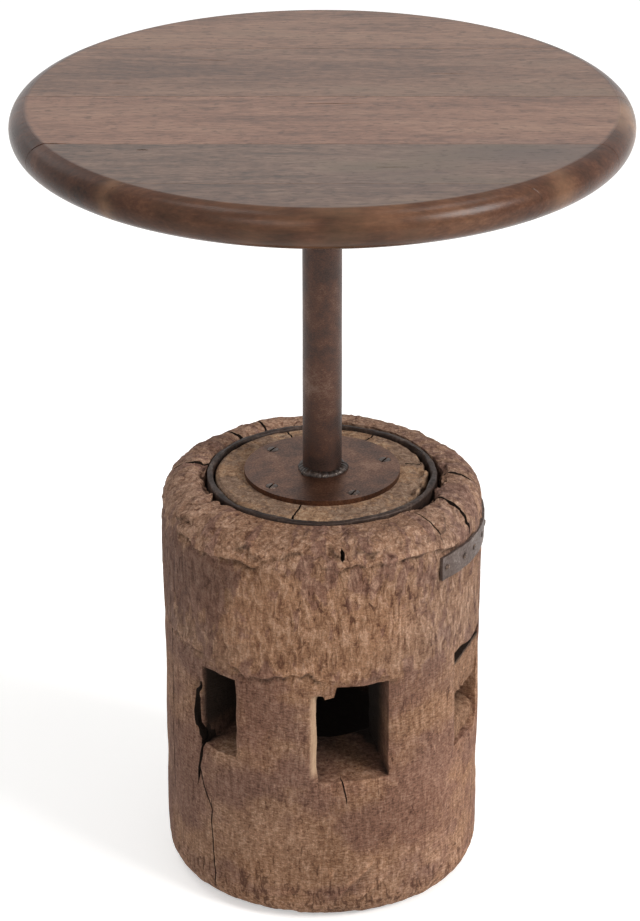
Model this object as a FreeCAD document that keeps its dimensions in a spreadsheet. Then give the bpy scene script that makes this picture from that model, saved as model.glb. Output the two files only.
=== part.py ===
import FreeCAD, Part
import math
import os

import Sketcher

# Round accent table: five glued boards on an iron pipe post, carried by an old cart-wheel hub.
# Millimetres. The origin is the centre of the hub's foot, +Z is up and -Y is the front.
# Turns are degrees from the front toward +X.

SIZES = {
    # tabletop
    "table_height": 632,
    "top_diameter": 460,
    "top_thickness": 30,
    "top_nose_depth": 12.5,
    # post and plates
    "post_diameter": 30,
    "post_wall": 3,
    "weld_leg": 5.5,
    "weld_belly": 6.5,
    "base_plate_diameter": 120,
    "base_plate_thickness": 4,
    "base_screw_margin": 9.5,
    "top_plate_diameter": 160,
    "top_plate_thickness": 5,
    "top_screw_margin": 16,
    # slotted countersunk screws
    "screw_head_diameter": 9.5,
    "screw_head_depth": 2.6,
    "screw_shank_diameter": 4.8,
    "screw_point_length": 5,
    "base_screw_length": 34,
    "top_screw_length": 24,
    "screw_slot_width": 1.3,
    "screw_slot_depth": 1.2,
    "screw_clearance": 0.15,
    # hub
    "hub_diameter": 247,
    "hub_height": 333,
    "hub_crown_round": 25,
    "crown_wear": 5,
    "hub_foot_round": 20.5,
    "bore_crown_diameter": 78,
    "bore_foot_diameter": 116,
    "mortise_width": 55,
    "mortise_height": 82,
    "mortise_rise": 1,
    "step_width": 14,
    "step_height": 11,
    "jamb_chip": 6,
    "split_width": 4.5,
    "split_depth": 26,
    # iron rings and the plug inside the upper one
    "ring_diameter": 178,
    "ring_wall": 6.5,
    "ring_seat_depth": 45,
    "ring_setback": 1.5,
    "ring_edge_round": 1.8,
    "ring_clearance": 0.3,
    "plug_setback": 2,
    "plug_edge_round": 5,
    # broken spoke
    "stub_clearance": 0.3,
    "stub_setback": 7,
    "stub_drop": 8,
    "stub_reach": 58,
    # repair strap and its nails
    "strap_width": 19,
    "strap_thickness": 2,
    "strap_shoulder_gap": 7.5,
    "strap_clearance": 0.2,
    "nail_head_diameter": 5.6,
    "nail_head_rise": 1.3,
    "nail_shank_diameter": 2.4,
    "nail_length": 24,
    "nail_clearance": 0.05,
    # every cut runs this far past the face it leaves
    "overrun": 5,
}

# Widths of the boards from the front as shares of the top's diameter. The rear board takes the rest.
BOARD_SHARES = (0.1261, 0.1739, 0.2217, 0.2435)

# Turns of the five screws in the base plate, as drilled by hand.
BASE_SCREW_TURNS = (-130.7, -49.6, 28.3, 106.4, 168.0)
TOP_SCREW_TURNS = (30.0, 90.0, 150.0, 210.0, 270.0, 330.0)

# Mortises, then for each its shares of the nominal width, the nominal height and the lift of its sill.
MORTISE_NAMES = ("front", "right", "rear_right", "rear", "rear_left", "left")
MORTISE_TURNS = (11.5, 70.0, 131.5, 191.5, 251.5, 319.1)
MORTISE_WIDTH_SHARES = (1.0, 1.0, 0.98, 1.0, 1.0, 0.62)
MORTISE_HEIGHT_SHARES = (1.0, 1.0, 1.0, 0.97, 1.0, 0.83)
MORTISE_LIFT_SHARES = (0.0, 0.0, 0.0, 0.02, 0.0, 0.13)

# Drying splits of the crown, with their shares of the split width and the split depth.
SPLIT_TURNS = (-100.0, 63.0, 88.0, -136.0, -150.5, 7.0, 172.0)
SPLIT_WIDTH_SHARES = (1.0, 1.15, 0.5, 0.6, 0.5, 0.7, 0.6)
SPLIT_DEPTH_SHARES = (0.9, 1.0, 0.6, 0.6, 0.5, 0.8, 0.7)

STRAP_START_TURN = 45.9
STRAP_SWEEP_ANGLE = 66.0
NAIL_TURNS = (48.7, 59.5, 67.2, 77.5, 87.0, 97.0, 108.5)

# Broken spoke seen from its side: shares of its reach outward and of its height.
STUB_SHARES = ((0.0, 0.0), (0.62, 0.0), (0.70, 0.22), (0.60, 0.40), (0.93, 0.60), (1.0, 1.0), (0.0, 1.0))

doc = FreeCAD.newDocument("accent_table")
size = doc.addObject("Spreadsheet::Sheet", "size")
for row, (name, value) in enumerate(SIZES.items(), start=1):
    size.set(f"A{row}", name)
    size.set(f"B{row}", str(value))
    size.setAlias(f"B{row}", name)
doc.recompute()


def plane_of(body, role):
    for feature in body.Origin.OriginFeatures:
        if feature.Role == role:
            return feature
    raise RuntimeError(role)


def add_sketch(body, name, role, turn=0.0):
    """Sketch on an origin plane of its body, turned about the plane's upright."""
    sketch = body.newObject("Sketcher::SketchObject", name)
    sketch.AttachmentSupport = [(plane_of(body, role), "")]
    sketch.MapMode = "FlatFace"
    if turn:
        upright = FreeCAD.Vector(0, 1, 0)
        sketch.AttachmentOffset = FreeCAD.Placement(FreeCAD.Vector(), FreeCAD.Rotation(upright, turn))
    return sketch


def bind(sketch, kind, points, expression):
    value = sketch.evalExpression(expression)
    index = sketch.addConstraint(Sketcher.Constraint(kind, *points, value))
    sketch.setExpression(f"Constraints[{index}]", expression)


def draw_outline(sketch, corners):
    """Closed outline, counter-clockwise. A corner is (x, y) or (x, y, radius of the arc that leaves it)."""
    places = []
    for corner in corners:
        across = sketch.evalExpression(corner[0])
        up = sketch.evalExpression(corner[1])
        places.append(FreeCAD.Vector(across, up, 0))
    count = len(corners)
    for index, corner in enumerate(corners):
        start = places[index]
        end = places[(index + 1) % count]
        if len(corner) == 2:
            sketch.addGeometry(Part.LineSegment(start, end), False)
            continue
        radius = sketch.evalExpression(corner[2])
        chord = end - start
        rise = math.sqrt(max(radius * radius - chord.Length * chord.Length / 4, 0))
        left = FreeCAD.Vector(-chord.y, chord.x, 0).normalize()
        centre = start + chord / 2 + left * rise
        first = math.atan2(start.y - centre.y, start.x - centre.x)
        last = math.atan2(end.y - centre.y, end.x - centre.x)
        circle = Part.Circle(centre, FreeCAD.Vector(0, 0, 1), radius)
        sketch.addGeometry(Part.ArcOfCircle(circle, first, last), False)
    for index in range(count):
        sketch.addConstraint(Sketcher.Constraint("Coincident", index, 2, (index + 1) % count, 1))
    for index, corner in enumerate(corners):
        bind(sketch, "DistanceX", (-1, 1, index, 1), corner[0])
        bind(sketch, "DistanceY", (-1, 1, index, 1), corner[1])
        if len(corner) == 3:
            bind(sketch, "Radius", (index,), corner[2])


def turned(name, corners, sweep=360.0):
    """Body turned about the upright axis from its half section."""
    body = doc.addObject("PartDesign::Body", name)
    sketch = add_sketch(body, name + "_section", "XZ_Plane")
    draw_outline(sketch, corners)
    feature = body.newObject("PartDesign::Revolution", name + "_turning")
    feature.Profile = sketch
    feature.ReferenceAxis = (sketch, ["V_Axis"])
    feature.Angle = sweep
    doc.recompute()
    return body


def cut(body, sketch, name, length=None, outward=True, both_ways=False):
    """Pocket through everything on one side of its sketch, or to a length, that must remove material."""
    doc.recompute()
    before = body.Shape.Volume
    pocket = body.newObject("PartDesign::Pocket", name)
    pocket.Profile = sketch
    pocket.Reversed = outward
    pocket.Midplane = both_ways
    if length is None:
        pocket.Type = "ThroughAll"
    else:
        pocket.Type = "Length"
        pocket.setExpression("Length", length)
    doc.recompute()
    if not body.Shape.Volume < before:
        raise RuntimeError(f"{name} removed nothing")
    return pocket


def around(circle, turn):
    """Sketch coordinates of a place on a named circle, for a plan seen from above."""
    return f"{circle} / 2 * sin({turn} deg)", f"-{circle} / 2 * cos({turn} deg)"


def draw_circles(sketch, circle, turns, diameter):
    for index, turn in enumerate(turns):
        across, up = around(circle, turn)
        centre = FreeCAD.Vector(sketch.evalExpression(across), sketch.evalExpression(up), 0)
        radius = sketch.evalExpression(f"{diameter} / 2")
        sketch.addGeometry(Part.Circle(centre, FreeCAD.Vector(0, 0, 1), radius), False)
        bind(sketch, "DistanceX", (-1, 1, index, 3), across)
        bind(sketch, "DistanceY", (-1, 1, index, 3), up)
        bind(sketch, "Radius", (index,), f"{diameter} / 2")


def group(name, body, places):
    """One node of equal fasteners: places are (x, y, z, axis, angle) with bound lengths."""
    links = []
    for index, (x, y, z, rotation) in enumerate(places):
        link = doc.addObject("App::Link", f"{name}_{index + 1}")
        link.LinkedObject = body
        link.Placement = FreeCAD.Placement(FreeCAD.Vector(), rotation)
        link.setExpression("Placement.Base.x", x)
        link.setExpression("Placement.Base.y", y)
        link.setExpression("Placement.Base.z", z)
        links.append(link)
    compound = doc.addObject("Part::Compound", name)
    compound.Links = links
    doc.recompute()
    return compound


# Heights that several pieces share.
SEAT = "(size.hub_height - size.ring_seat_depth)"
PLUG_TOP = "(size.hub_height - size.plug_setback)"
BASE_TOP = "(size.hub_height - size.plug_setback + size.base_plate_thickness)"
TOP_UNDER = "(size.table_height - size.top_thickness)"
POST_TOP = "(size.table_height - size.top_thickness - size.top_plate_thickness)"
HUB_RADIUS = "(size.hub_diameter / 2)"
MORTISE_SILL = "(size.hub_height / 2 - size.mortise_height / 2 + size.mortise_rise)"
STRAP_TOP = "(size.hub_height - size.hub_crown_round - size.strap_shoulder_gap)"
STRAP_MIDDLE = f"({STRAP_TOP} - size.strap_width / 2)"
SEAT_RADIUS = "(size.ring_diameter / 2 + size.ring_clearance)"
RING_BORE = "(size.ring_diameter / 2 - size.ring_wall)"
BASE_CIRCLE = "(size.base_plate_diameter - 2 * size.base_screw_margin)"
TOP_CIRCLE = "(size.top_plate_diameter - 2 * size.top_screw_margin)"
SHANK_HOLE = "(size.screw_shank_diameter + 2 * size.screw_clearance)"

# Tabletop: a bull-nosed disc, then one strip of it for each board.
NOSE_RADIUS = "(size.top_nose_depth / 2 + size.top_thickness ^ 2 / (8 * size.top_nose_depth))"
FLAT_RADIUS = "(size.top_diameter / 2 - size.top_nose_depth)"
disc = turned(
    "top_disc",
    [
        ("0", TOP_UNDER),
        (FLAT_RADIUS, TOP_UNDER, NOSE_RADIUS),
        (FLAT_RADIUS, "size.table_height"),
        ("0", "size.table_height"),
    ],
)
BOARD_WIDTHS = [f"({share} * size.top_diameter)" for share in BOARD_SHARES]
boards = []
near = "(-size.top_diameter / 2)"
for index in range(len(BOARD_WIDTHS) + 1):
    last = index == len(BOARD_WIDTHS)
    width = f"(size.top_diameter / 2 - {near})" if last else BOARD_WIDTHS[index]
    strip = doc.addObject("Part::Box", f"strip_{index + 1}")
    strip.setExpression("Length", "size.top_diameter + 2 * size.overrun")
    strip.setExpression("Height", "size.top_thickness + 2 * size.overrun")
    outer = index == 0 or last
    strip.setExpression("Width", f"{width} + size.overrun" if outer else width)
    strip.setExpression("Placement.Base.x", "-size.top_diameter / 2 - size.overrun")
    strip.setExpression("Placement.Base.y", f"{near} - size.overrun" if index == 0 else near)
    strip.setExpression("Placement.Base.z", f"{TOP_UNDER} - size.overrun")
    board = doc.addObject("Part::Common", f"top_board_{index + 1}")
    board.Base = disc
    board.Tool = strip
    boards.append(board)
    near = f"({near} + {width})"
doc.recompute()

# Screws: slotted countersunk head at the origin, shank downward.
HEAD_RADIUS = "(size.screw_head_diameter / 2)"
SHANK_RADIUS = "(size.screw_shank_diameter / 2)"


def screw(name, length):
    body = turned(
        name,
        [
            ("0", f"-{length}"),
            (SHANK_RADIUS, f"-{length} + size.screw_point_length"),
            (SHANK_RADIUS, "-size.screw_head_depth"),
            (HEAD_RADIUS, "0"),
            ("0", "0"),
        ],
    )
    sketch = add_sketch(body, name + "_slot_outline", "XY_Plane")
    reach = f"({HEAD_RADIUS} + size.overrun)"
    half = "(size.screw_slot_width / 2)"
    back = f"-{reach}"
    draw_outline(sketch, [(back, f"-{half}"), (reach, f"-{half}"), (reach, half), (back, half)])
    cut(body, sketch, name + "_slot", length="size.screw_slot_depth", outward=False)
    return body


def plate(name, diameter, thickness, circle, turns, bottom, countersink_up):
    """Iron disc with countersunk screw holes."""
    body = doc.addObject("PartDesign::Body", name)
    face = f"{bottom} + {thickness}" if countersink_up else bottom
    outline = add_sketch(body, name + "_outline", "XY_Plane")
    outline.setExpression("AttachmentOffset.Base.z", face)
    draw_circles(outline, "0", (0.0,), diameter)
    pad = body.newObject("PartDesign::Pad", name + "_pad")
    pad.Profile = outline
    pad.setExpression("Length", thickness)
    pad.Reversed = countersink_up
    doc.recompute()
    holes = add_sketch(body, name + "_hole_centres", "XY_Plane")
    holes.setExpression("AttachmentOffset.Base.z", face)
    draw_circles(holes, circle, turns, SHANK_HOLE)
    cut(body, holes, name + "_holes", outward=not countersink_up)
    return body


def countersinks(name, blank, circle, turns, face, down):
    """Conical seats for the screw heads, taken out of a plate."""
    sign = "-" if down else "+"
    tools = []
    for index, turn in enumerate(turns):
        x, y = around(circle, turn)
        cone = doc.addObject("Part::Cone", f"{name}_seat_{index + 1}")
        wide = f"{HEAD_RADIUS} + size.screw_clearance"
        narrow = f"{SHANK_RADIUS} + size.screw_clearance"
        cone.setExpression("Radius1", narrow if down else wide)
        cone.setExpression("Radius2", wide if down else narrow)
        cone.setExpression("Height", "size.screw_head_depth")
        cone.setExpression("Placement.Base.x", x)
        cone.setExpression("Placement.Base.y", y)
        cone.setExpression("Placement.Base.z", f"{face} - size.screw_head_depth" if down else face)
        tools.append(cone)
    gang = doc.addObject("Part::Compound", f"{name}_seats")
    gang.Links = tools
    result = doc.addObject("Part::Cut", name)
    result.Base = blank
    result.Tool = gang
    doc.recompute()
    return result


base_blank = plate(
    "base_plate_blank",
    "size.base_plate_diameter",
    "size.base_plate_thickness",
    BASE_CIRCLE,
    BASE_SCREW_TURNS,
    PLUG_TOP,
    True,
)
base_plate = countersinks("base_plate", base_blank, BASE_CIRCLE, BASE_SCREW_TURNS, BASE_TOP, True)
top_blank = plate(
    "top_plate_blank",
    "size.top_plate_diameter",
    "size.top_plate_thickness",
    TOP_CIRCLE,
    TOP_SCREW_TURNS,
    POST_TOP,
    False,
)
top_plate = countersinks("top_plate", top_blank, TOP_CIRCLE, TOP_SCREW_TURNS, POST_TOP, False)

base_screw = screw("base_screw", "size.base_screw_length")
top_screw = screw("top_screw", "size.top_screw_length")
base_places = []
for index, turn in enumerate(BASE_SCREW_TURNS):
    slot_turn = FreeCAD.Rotation(FreeCAD.Vector(0, 0, 1), turn * (index + 2))
    base_places.append((*around(BASE_CIRCLE, turn), BASE_TOP, slot_turn))
base_screws = group("base_plate_screws", base_screw, base_places)
top_places = []
for index, turn in enumerate(TOP_SCREW_TURNS):
    slot_turn = FreeCAD.Rotation(FreeCAD.Vector(0, 0, 1), turn * (index + 2) / 2)
    flipped = slot_turn.multiply(FreeCAD.Rotation(FreeCAD.Vector(1, 0, 0), 180))
    top_places.append((*around(TOP_CIRCLE, turn), POST_TOP, flipped))
top_screws = group("top_plate_screws", top_screw, top_places)

# The boards are drilled for the screws that hold them to the top plate.
drills = []
for index, turn in enumerate(TOP_SCREW_TURNS):
    x, y = around(TOP_CIRCLE, turn)
    drill = doc.addObject("Part::Cylinder", f"board_drill_{index + 1}")
    drill.setExpression("Radius", f"{SHANK_HOLE} / 2")
    drill.setExpression("Height", "size.top_screw_length - size.top_plate_thickness + size.overrun")
    drill.setExpression("Placement.Base.x", x)
    drill.setExpression("Placement.Base.y", y)
    drill.setExpression("Placement.Base.z", f"{TOP_UNDER} - size.overrun")
    drills.append(drill)
gang = doc.addObject("Part::Compound", "board_drills")
gang.Links = drills
drilled = []
for board in boards:
    result = doc.addObject("Part::Cut", board.Name + "_drilled")
    result.Base = board
    result.Tool = gang
    result.Label = board.Name
    board.Label = board.Name + "_strip"
    result.Label = board.Name
    drilled.append(result)
doc.recompute()

# Post: a pipe that stands on the base plate and carries the top plate.
post = doc.addObject("PartDesign::Body", "post")
post_sketch = add_sketch(post, "post_section", "XY_Plane")
post_sketch.setExpression("AttachmentOffset.Base.z", BASE_TOP)
POST_BORE = "(size.post_diameter - 2 * size.post_wall)"
for index, diameter in enumerate(("size.post_diameter", POST_BORE)):
    radius = post_sketch.evalExpression(f"{diameter} / 2")
    post_sketch.addGeometry(Part.Circle(FreeCAD.Vector(), FreeCAD.Vector(0, 0, 1), radius), False)
    post_sketch.addConstraint(Sketcher.Constraint("Coincident", index, 3, -1, 1))
    bind(post_sketch, "Radius", (index,), f"{diameter} / 2")
post_pad = post.newObject("PartDesign::Pad", "post_pad")
post_pad.Profile = post_sketch
post_pad.setExpression("Length", f"{POST_TOP} - {BASE_TOP}")
doc.recompute()

# Weld beads at both ends of the post.
POST_RADIUS = "(size.post_diameter / 2)"
BEAD_EDGE = f"({POST_RADIUS} + size.weld_leg)"
base_weld = turned(
    "base_weld",
    [
        (POST_RADIUS, BASE_TOP),
        (BEAD_EDGE, BASE_TOP, "size.weld_belly"),
        (POST_RADIUS, f"{BASE_TOP} + size.weld_leg"),
    ],
)
top_weld = turned(
    "top_weld",
    [
        (POST_RADIUS, POST_TOP),
        (POST_RADIUS, f"{POST_TOP} - size.weld_leg", "size.weld_belly"),
        (BEAD_EDGE, POST_TOP),
    ],
)

# Iron rings: one stands out of the worn crown, its partner sits just inside the foot.
CROWN_RING_TOP = "size.hub_height"
RING_RADIUS = "(size.ring_diameter / 2)"
EDGE = "size.ring_edge_round"
crown_ring = turned(
    "crown_ring",
    [
        (RING_BORE, SEAT),
        (RING_RADIUS, SEAT),
        (RING_RADIUS, f"{CROWN_RING_TOP} - {EDGE}", EDGE),
        (f"{RING_RADIUS} - {EDGE}", CROWN_RING_TOP),
        (f"{RING_BORE} + {EDGE}", CROWN_RING_TOP, EDGE),
        (RING_BORE, f"{CROWN_RING_TOP} - {EDGE}"),
    ],
)
foot_ring = turned(
    "foot_ring",
    [
        (f"{RING_BORE} + {EDGE}", "size.ring_setback"),
        (f"{RING_RADIUS} - {EDGE}", "size.ring_setback", EDGE),
        (RING_RADIUS, f"size.ring_setback + {EDGE}"),
        (RING_RADIUS, "size.ring_seat_depth"),
        (RING_BORE, "size.ring_seat_depth"),
        (RING_BORE, f"size.ring_setback + {EDGE}", EDGE),
    ],
)

# Core plug: turned to fit inside the crown ring, on the same seat, with pilot holes for the screws.
PLUG_RADIUS = f"({RING_BORE} - size.ring_clearance)"
core_plug = turned(
    "core_plug",
    [
        ("0", SEAT),
        (PLUG_RADIUS, SEAT),
        (PLUG_RADIUS, f"{PLUG_TOP} - size.plug_edge_round", "size.plug_edge_round"),
        (f"{PLUG_RADIUS} - size.plug_edge_round", PLUG_TOP),
        ("0", PLUG_TOP),
    ],
)
pilots = add_sketch(core_plug, "core_plug_pilots", "XY_Plane")
pilots.setExpression("AttachmentOffset.Base.z", PLUG_TOP)
draw_circles(pilots, BASE_CIRCLE, BASE_SCREW_TURNS, SHANK_HOLE)
cut(
    core_plug,
    pilots,
    "core_plug_pilot_holes",
    length="size.base_screw_length - size.base_plate_thickness + size.screw_clearance",
    outward=False,
)

# Hub: worn round at both ends, seated for the rings, bored on a taper for the old axle.
hub = turned(
    "hub",
    [
        (SEAT_RADIUS, "0"),
        (f"{HUB_RADIUS} - size.hub_foot_round", "0", "size.hub_foot_round"),
        (HUB_RADIUS, "size.hub_foot_round"),
        (HUB_RADIUS, "size.hub_height - size.hub_crown_round", "size.hub_crown_round"),
        (f"{HUB_RADIUS} - size.hub_crown_round", "size.hub_height"),
        (SEAT_RADIUS, "size.hub_height"),
        (SEAT_RADIUS, SEAT),
        ("size.bore_crown_diameter / 2", SEAT),
        ("size.bore_foot_diameter / 2", "size.ring_seat_depth"),
        (SEAT_RADIUS, "size.ring_seat_depth"),
    ],
)
MORTISES = list(
    zip(MORTISE_NAMES, MORTISE_TURNS, MORTISE_WIDTH_SHARES, MORTISE_HEIGHT_SHARES, MORTISE_LIFT_SHARES)
)
for name, turn, width_share, height_share, lift_share in MORTISES:
    sketch = add_sketch(hub, f"mortise_{name}_outline", "XZ_Plane", turn)
    half = f"({width_share} * size.mortise_width / 2)"
    sill = f"({MORTISE_SILL} + {lift_share} * size.mortise_height)"
    head = f"({sill} + {height_share} * size.mortise_height)"
    corners = [(f"-{half}", sill), (half, sill), (half, head), (f"-{half}", head)]
    if name == "front":
        step_side = f"-{half} + size.step_width"
        corners[3:] = [
            (step_side, head),
            (step_side, f"{head} - size.step_height"),
            (f"-{half}", f"{head} - size.step_height"),
        ]
    draw_outline(sketch, corners)
    cut(hub, sketch, f"mortise_{name}")

# The left jamb of the front mortise has split away on a slant.
name, turn, width_share, height_share, lift_share = MORTISES[0]
chip = add_sketch(hub, "jamb_chip_outline", "XY_Plane")
chip.AttachmentOffset = FreeCAD.Placement(FreeCAD.Vector(), FreeCAD.Rotation(FreeCAD.Vector(0, 0, 1), turn))
chip.setExpression("AttachmentOffset.Base.z", f"{MORTISE_SILL} + size.jamb_chip")
doc.recompute()
JAMB = "(-size.mortise_width / 2)"
draw_outline(
    chip,
    [
        (f"{JAMB} - 2 * size.jamb_chip", f"-{HUB_RADIUS} - size.overrun"),
        (JAMB, f"-{HUB_RADIUS} - size.overrun"),
        (JAMB, f"-{HUB_RADIUS} + 2 * size.jamb_chip"),
        (f"{JAMB} - size.jamb_chip", f"-{HUB_RADIUS} + size.jamb_chip / 2"),
    ],
)
cut(hub, chip, "jamb_chip", length="size.mortise_height - size.step_height - size.jamb_chip", outward=True)

# The crown has worn down toward the front, so the ring stands proud of it there.
wear = add_sketch(hub, "crown_wear_outline", "YZ_Plane")
beyond = f"({HUB_RADIUS} + size.overrun)"
draw_outline(
    wear,
    [
        (f"-{beyond}", "size.hub_height - size.crown_wear"),
        (beyond, "size.hub_height"),
        (beyond, "size.hub_height + size.overrun"),
        (f"-{beyond}", "size.hub_height + size.overrun"),
    ],
)
cut(hub, wear, "crown_wear", both_ways=True)

# Splits run out from the ring seat and close downward.
SPLITS = list(zip(SPLIT_TURNS, SPLIT_WIDTH_SHARES, SPLIT_DEPTH_SHARES))
for index, (turn, width_share, depth_share) in enumerate(SPLITS):
    sketch = add_sketch(hub, f"split_{index + 1}_outline", "XZ_Plane", turn)
    half = f"({width_share} * size.split_width / 2)"
    floor = f"size.hub_height - {depth_share} * size.split_depth"
    crown = "size.hub_height + size.overrun"
    draw_outline(sketch, [("0", floor), (half, crown), (f"-{half}", crown)])
    cut(hub, sketch, f"split_{index + 1}")

# Nail holes in the wood behind the strap.
NAIL_HOLE = "(size.nail_shank_diameter + 2 * size.nail_clearance)"
STRAP_INSIDE = f"({HUB_RADIUS} + size.strap_clearance)"
STRAP_OUTSIDE = f"({STRAP_INSIDE} + size.strap_thickness)"
NAIL_DEPTH = "(size.nail_length + size.nail_clearance)"


def nail_drills(name):
    tools = []
    for index, turn in enumerate(NAIL_TURNS):
        drill = doc.addObject("Part::Cylinder", f"{name}_{index + 1}")
        inner = f"({STRAP_OUTSIDE} - {NAIL_DEPTH})"
        drill.setExpression("Radius", f"{NAIL_HOLE} / 2")
        drill.setExpression("Height", f"{NAIL_DEPTH} + size.overrun")
        drill.Placement.Rotation = radial(turn)
        drill.setExpression("Placement.Base.x", f"{inner} * sin({turn} deg)")
        drill.setExpression("Placement.Base.y", f"-{inner} * cos({turn} deg)")
        drill.setExpression("Placement.Base.z", STRAP_MIDDLE)
        tools.append(drill)
    gang = doc.addObject("Part::Compound", name)
    gang.Links = tools
    return gang


def radial(turn):
    """Turns +Z to point straight out of the hub at a turn."""
    upright = FreeCAD.Rotation(FreeCAD.Vector(0, 0, 1), turn)
    return upright.multiply(FreeCAD.Rotation(FreeCAD.Vector(1, 0, 0), 90))


drill_gang = nail_drills("nail_drill")
hub_cut = doc.addObject("Part::Cut", "hub_drilled")
hub_cut.Base = hub
hub_cut.Tool = drill_gang
hub.Label = "hub_undrilled"
hub_cut.Label = "hub"
doc.recompute()

# Repair strap: a band bent round the hub's shoulder, with a hole for each nail.
HALF_STRAP = "size.strap_width / 2"
strap_band = turned(
    "strap_band",
    [
        (STRAP_INSIDE, f"{STRAP_MIDDLE} - {HALF_STRAP}"),
        (STRAP_OUTSIDE, f"{STRAP_MIDDLE} - {HALF_STRAP}"),
        (STRAP_OUTSIDE, f"{STRAP_MIDDLE} + {HALF_STRAP}"),
        (STRAP_INSIDE, f"{STRAP_MIDDLE} + {HALF_STRAP}"),
    ],
    STRAP_SWEEP_ANGLE,
)
# A section on +X stands at a turn of 90 degrees.
strap_band.Placement = FreeCAD.Placement(
    FreeCAD.Vector(), FreeCAD.Rotation(FreeCAD.Vector(0, 0, 1), STRAP_START_TURN - 90)
)
strap = doc.addObject("Part::Cut", "repair_strap")
strap.Base = strap_band
strap.Tool = drill_gang
doc.recompute()

NAIL_HEAD = "(size.nail_head_diameter / 2)"
NAIL_SHANK = "(size.nail_shank_diameter / 2)"
DOME = f"({NAIL_HEAD} ^ 2 / (2 * size.nail_head_rise) + size.nail_head_rise / 2)"
nail = turned(
    "nail",
    [
        ("0", "-size.nail_length"),
        (NAIL_SHANK, "-size.nail_length + size.nail_shank_diameter"),
        (NAIL_SHANK, "0"),
        (NAIL_HEAD, "0", DOME),
        ("0", "size.nail_head_rise"),
    ],
)
nail_places = []
for turn in NAIL_TURNS:
    x = f"{STRAP_OUTSIDE} * sin({turn} deg)"
    y = f"-{STRAP_OUTSIDE} * cos({turn} deg)"
    nail_places.append((x, y, STRAP_MIDDLE, radial(turn)))
strap_nails = group("strap_nails", nail, nail_places)

# Broken spoke: a tenon that fills the right mortise, snapped off inside the hub's face.
name, turn, width_share, height_share, lift_share = MORTISES[1]
stub = doc.addObject("PartDesign::Body", "spoke_stub")
stub_sketch = add_sketch(stub, "spoke_stub_side", "YZ_Plane", turn)
stub_face = f"({HUB_RADIUS} - size.stub_setback)"
stub_root = f"({stub_face} - size.stub_reach)"
stub_floor = f"({MORTISE_SILL} + {lift_share} * size.mortise_height + size.stub_clearance)"
stub_height = f"({height_share} * size.mortise_height - size.stub_drop)"
corners = []
for reach_share, up_share in STUB_SHARES:
    corners.append(
        (f"-({stub_root} + {reach_share} * size.stub_reach)", f"{stub_floor} + {up_share} * {stub_height}")
    )
draw_outline(stub_sketch, corners[::-1])
stub_pad = stub.newObject("PartDesign::Pad", "spoke_stub_pad")
stub_pad.Profile = stub_sketch
stub_pad.setExpression("Length", f"{width_share} * size.mortise_width - 2 * size.stub_clearance")
stub_pad.Midplane = True
doc.recompute()

NODES = [
    *drilled,
    top_plate,
    top_screws,
    top_weld,
    post,
    base_weld,
    base_plate,
    base_screws,
    core_plug,
    crown_ring,
    hub_cut,
    foot_ring,
    strap,
    strap_nails,
    stub,
]

for item in doc.Objects:
    if "Invalid" in item.State or "Error" in item.State:
        raise RuntimeError(f"{item.Label} failed: {item.State}")
for node in NODES:
    if node.Shape.isNull() or not node.Shape.isValid() or not node.Shape.Solids:
        raise RuntimeError(f"{node.Label} has no valid solid")

os.makedirs("parts", exist_ok=True)
for node in NODES:
    node.Shape.exportStep(f"parts/{node.Label}.step")
    box = node.Shape.BoundBox
    print(node.Label, len(node.Shape.Solids), f"z {box.ZMin:.1f} to {box.ZMax:.1f}")
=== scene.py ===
"""Looks of a round accent table: plank top, iron pipe post and an old cart-wheel hub as its foot."""

import logging
import math
from dataclasses import dataclass, field
from enum import Enum
from typing import Any, Callable, Sequence

import bmesh
import bpy
import numpy as np

from mathutils.bvhtree import BVHTree
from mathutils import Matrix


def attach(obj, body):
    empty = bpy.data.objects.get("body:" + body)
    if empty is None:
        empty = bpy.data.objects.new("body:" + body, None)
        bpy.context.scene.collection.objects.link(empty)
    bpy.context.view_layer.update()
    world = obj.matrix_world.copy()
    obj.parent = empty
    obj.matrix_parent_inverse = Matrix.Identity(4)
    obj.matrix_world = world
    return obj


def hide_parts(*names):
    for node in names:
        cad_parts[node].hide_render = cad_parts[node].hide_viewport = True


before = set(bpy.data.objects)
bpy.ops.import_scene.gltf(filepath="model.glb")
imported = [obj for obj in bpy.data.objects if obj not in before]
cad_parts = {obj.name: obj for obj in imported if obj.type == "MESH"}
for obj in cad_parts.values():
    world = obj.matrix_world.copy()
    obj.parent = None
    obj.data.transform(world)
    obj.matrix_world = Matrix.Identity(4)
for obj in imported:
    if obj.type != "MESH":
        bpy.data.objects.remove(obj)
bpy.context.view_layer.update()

LOG = logging.getLogger("accent_table")
MM = 0.001
ROOT = "root"
LATTICE = 4096
GOLDEN_ANGLE = 2.399963
# Places in the hub's row of mortises.
FRONT, RIGHT, LEFT = 0, 1, 5
Array = np.ndarray
# Two numbers: radius and height, middle and width, or start and end.
Spot = tuple[float, float]


class Slot(Enum):
    """Material slots of the record."""

    BOARD = "board_wood"
    POST = "post_iron"
    WELD = "weld_steel"
    SCREW = "screw_steel"
    CORE = "core_wood"
    RING = "ring_iron"
    HUB = "hub_wood"
    STRAP = "strap_iron"
    STUB = "stub_wood"


def linear(colour: str) -> tuple[float, float, float, float]:
    """Turns an sRGB hex colour into linear light.

    Args:
        colour: Six hex digits after a hash.

    Returns:
        Red, green, blue and an alpha of 1.
    """
    values = [int(colour[i : i + 2], 16) / 255 for i in (1, 3, 5)]
    light = [v / 12.92 if v <= 0.04045 else ((v + 0.055) / 1.055) ** 2.4 for v in values]
    return (light[0], light[1], light[2], 1.0)


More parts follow.
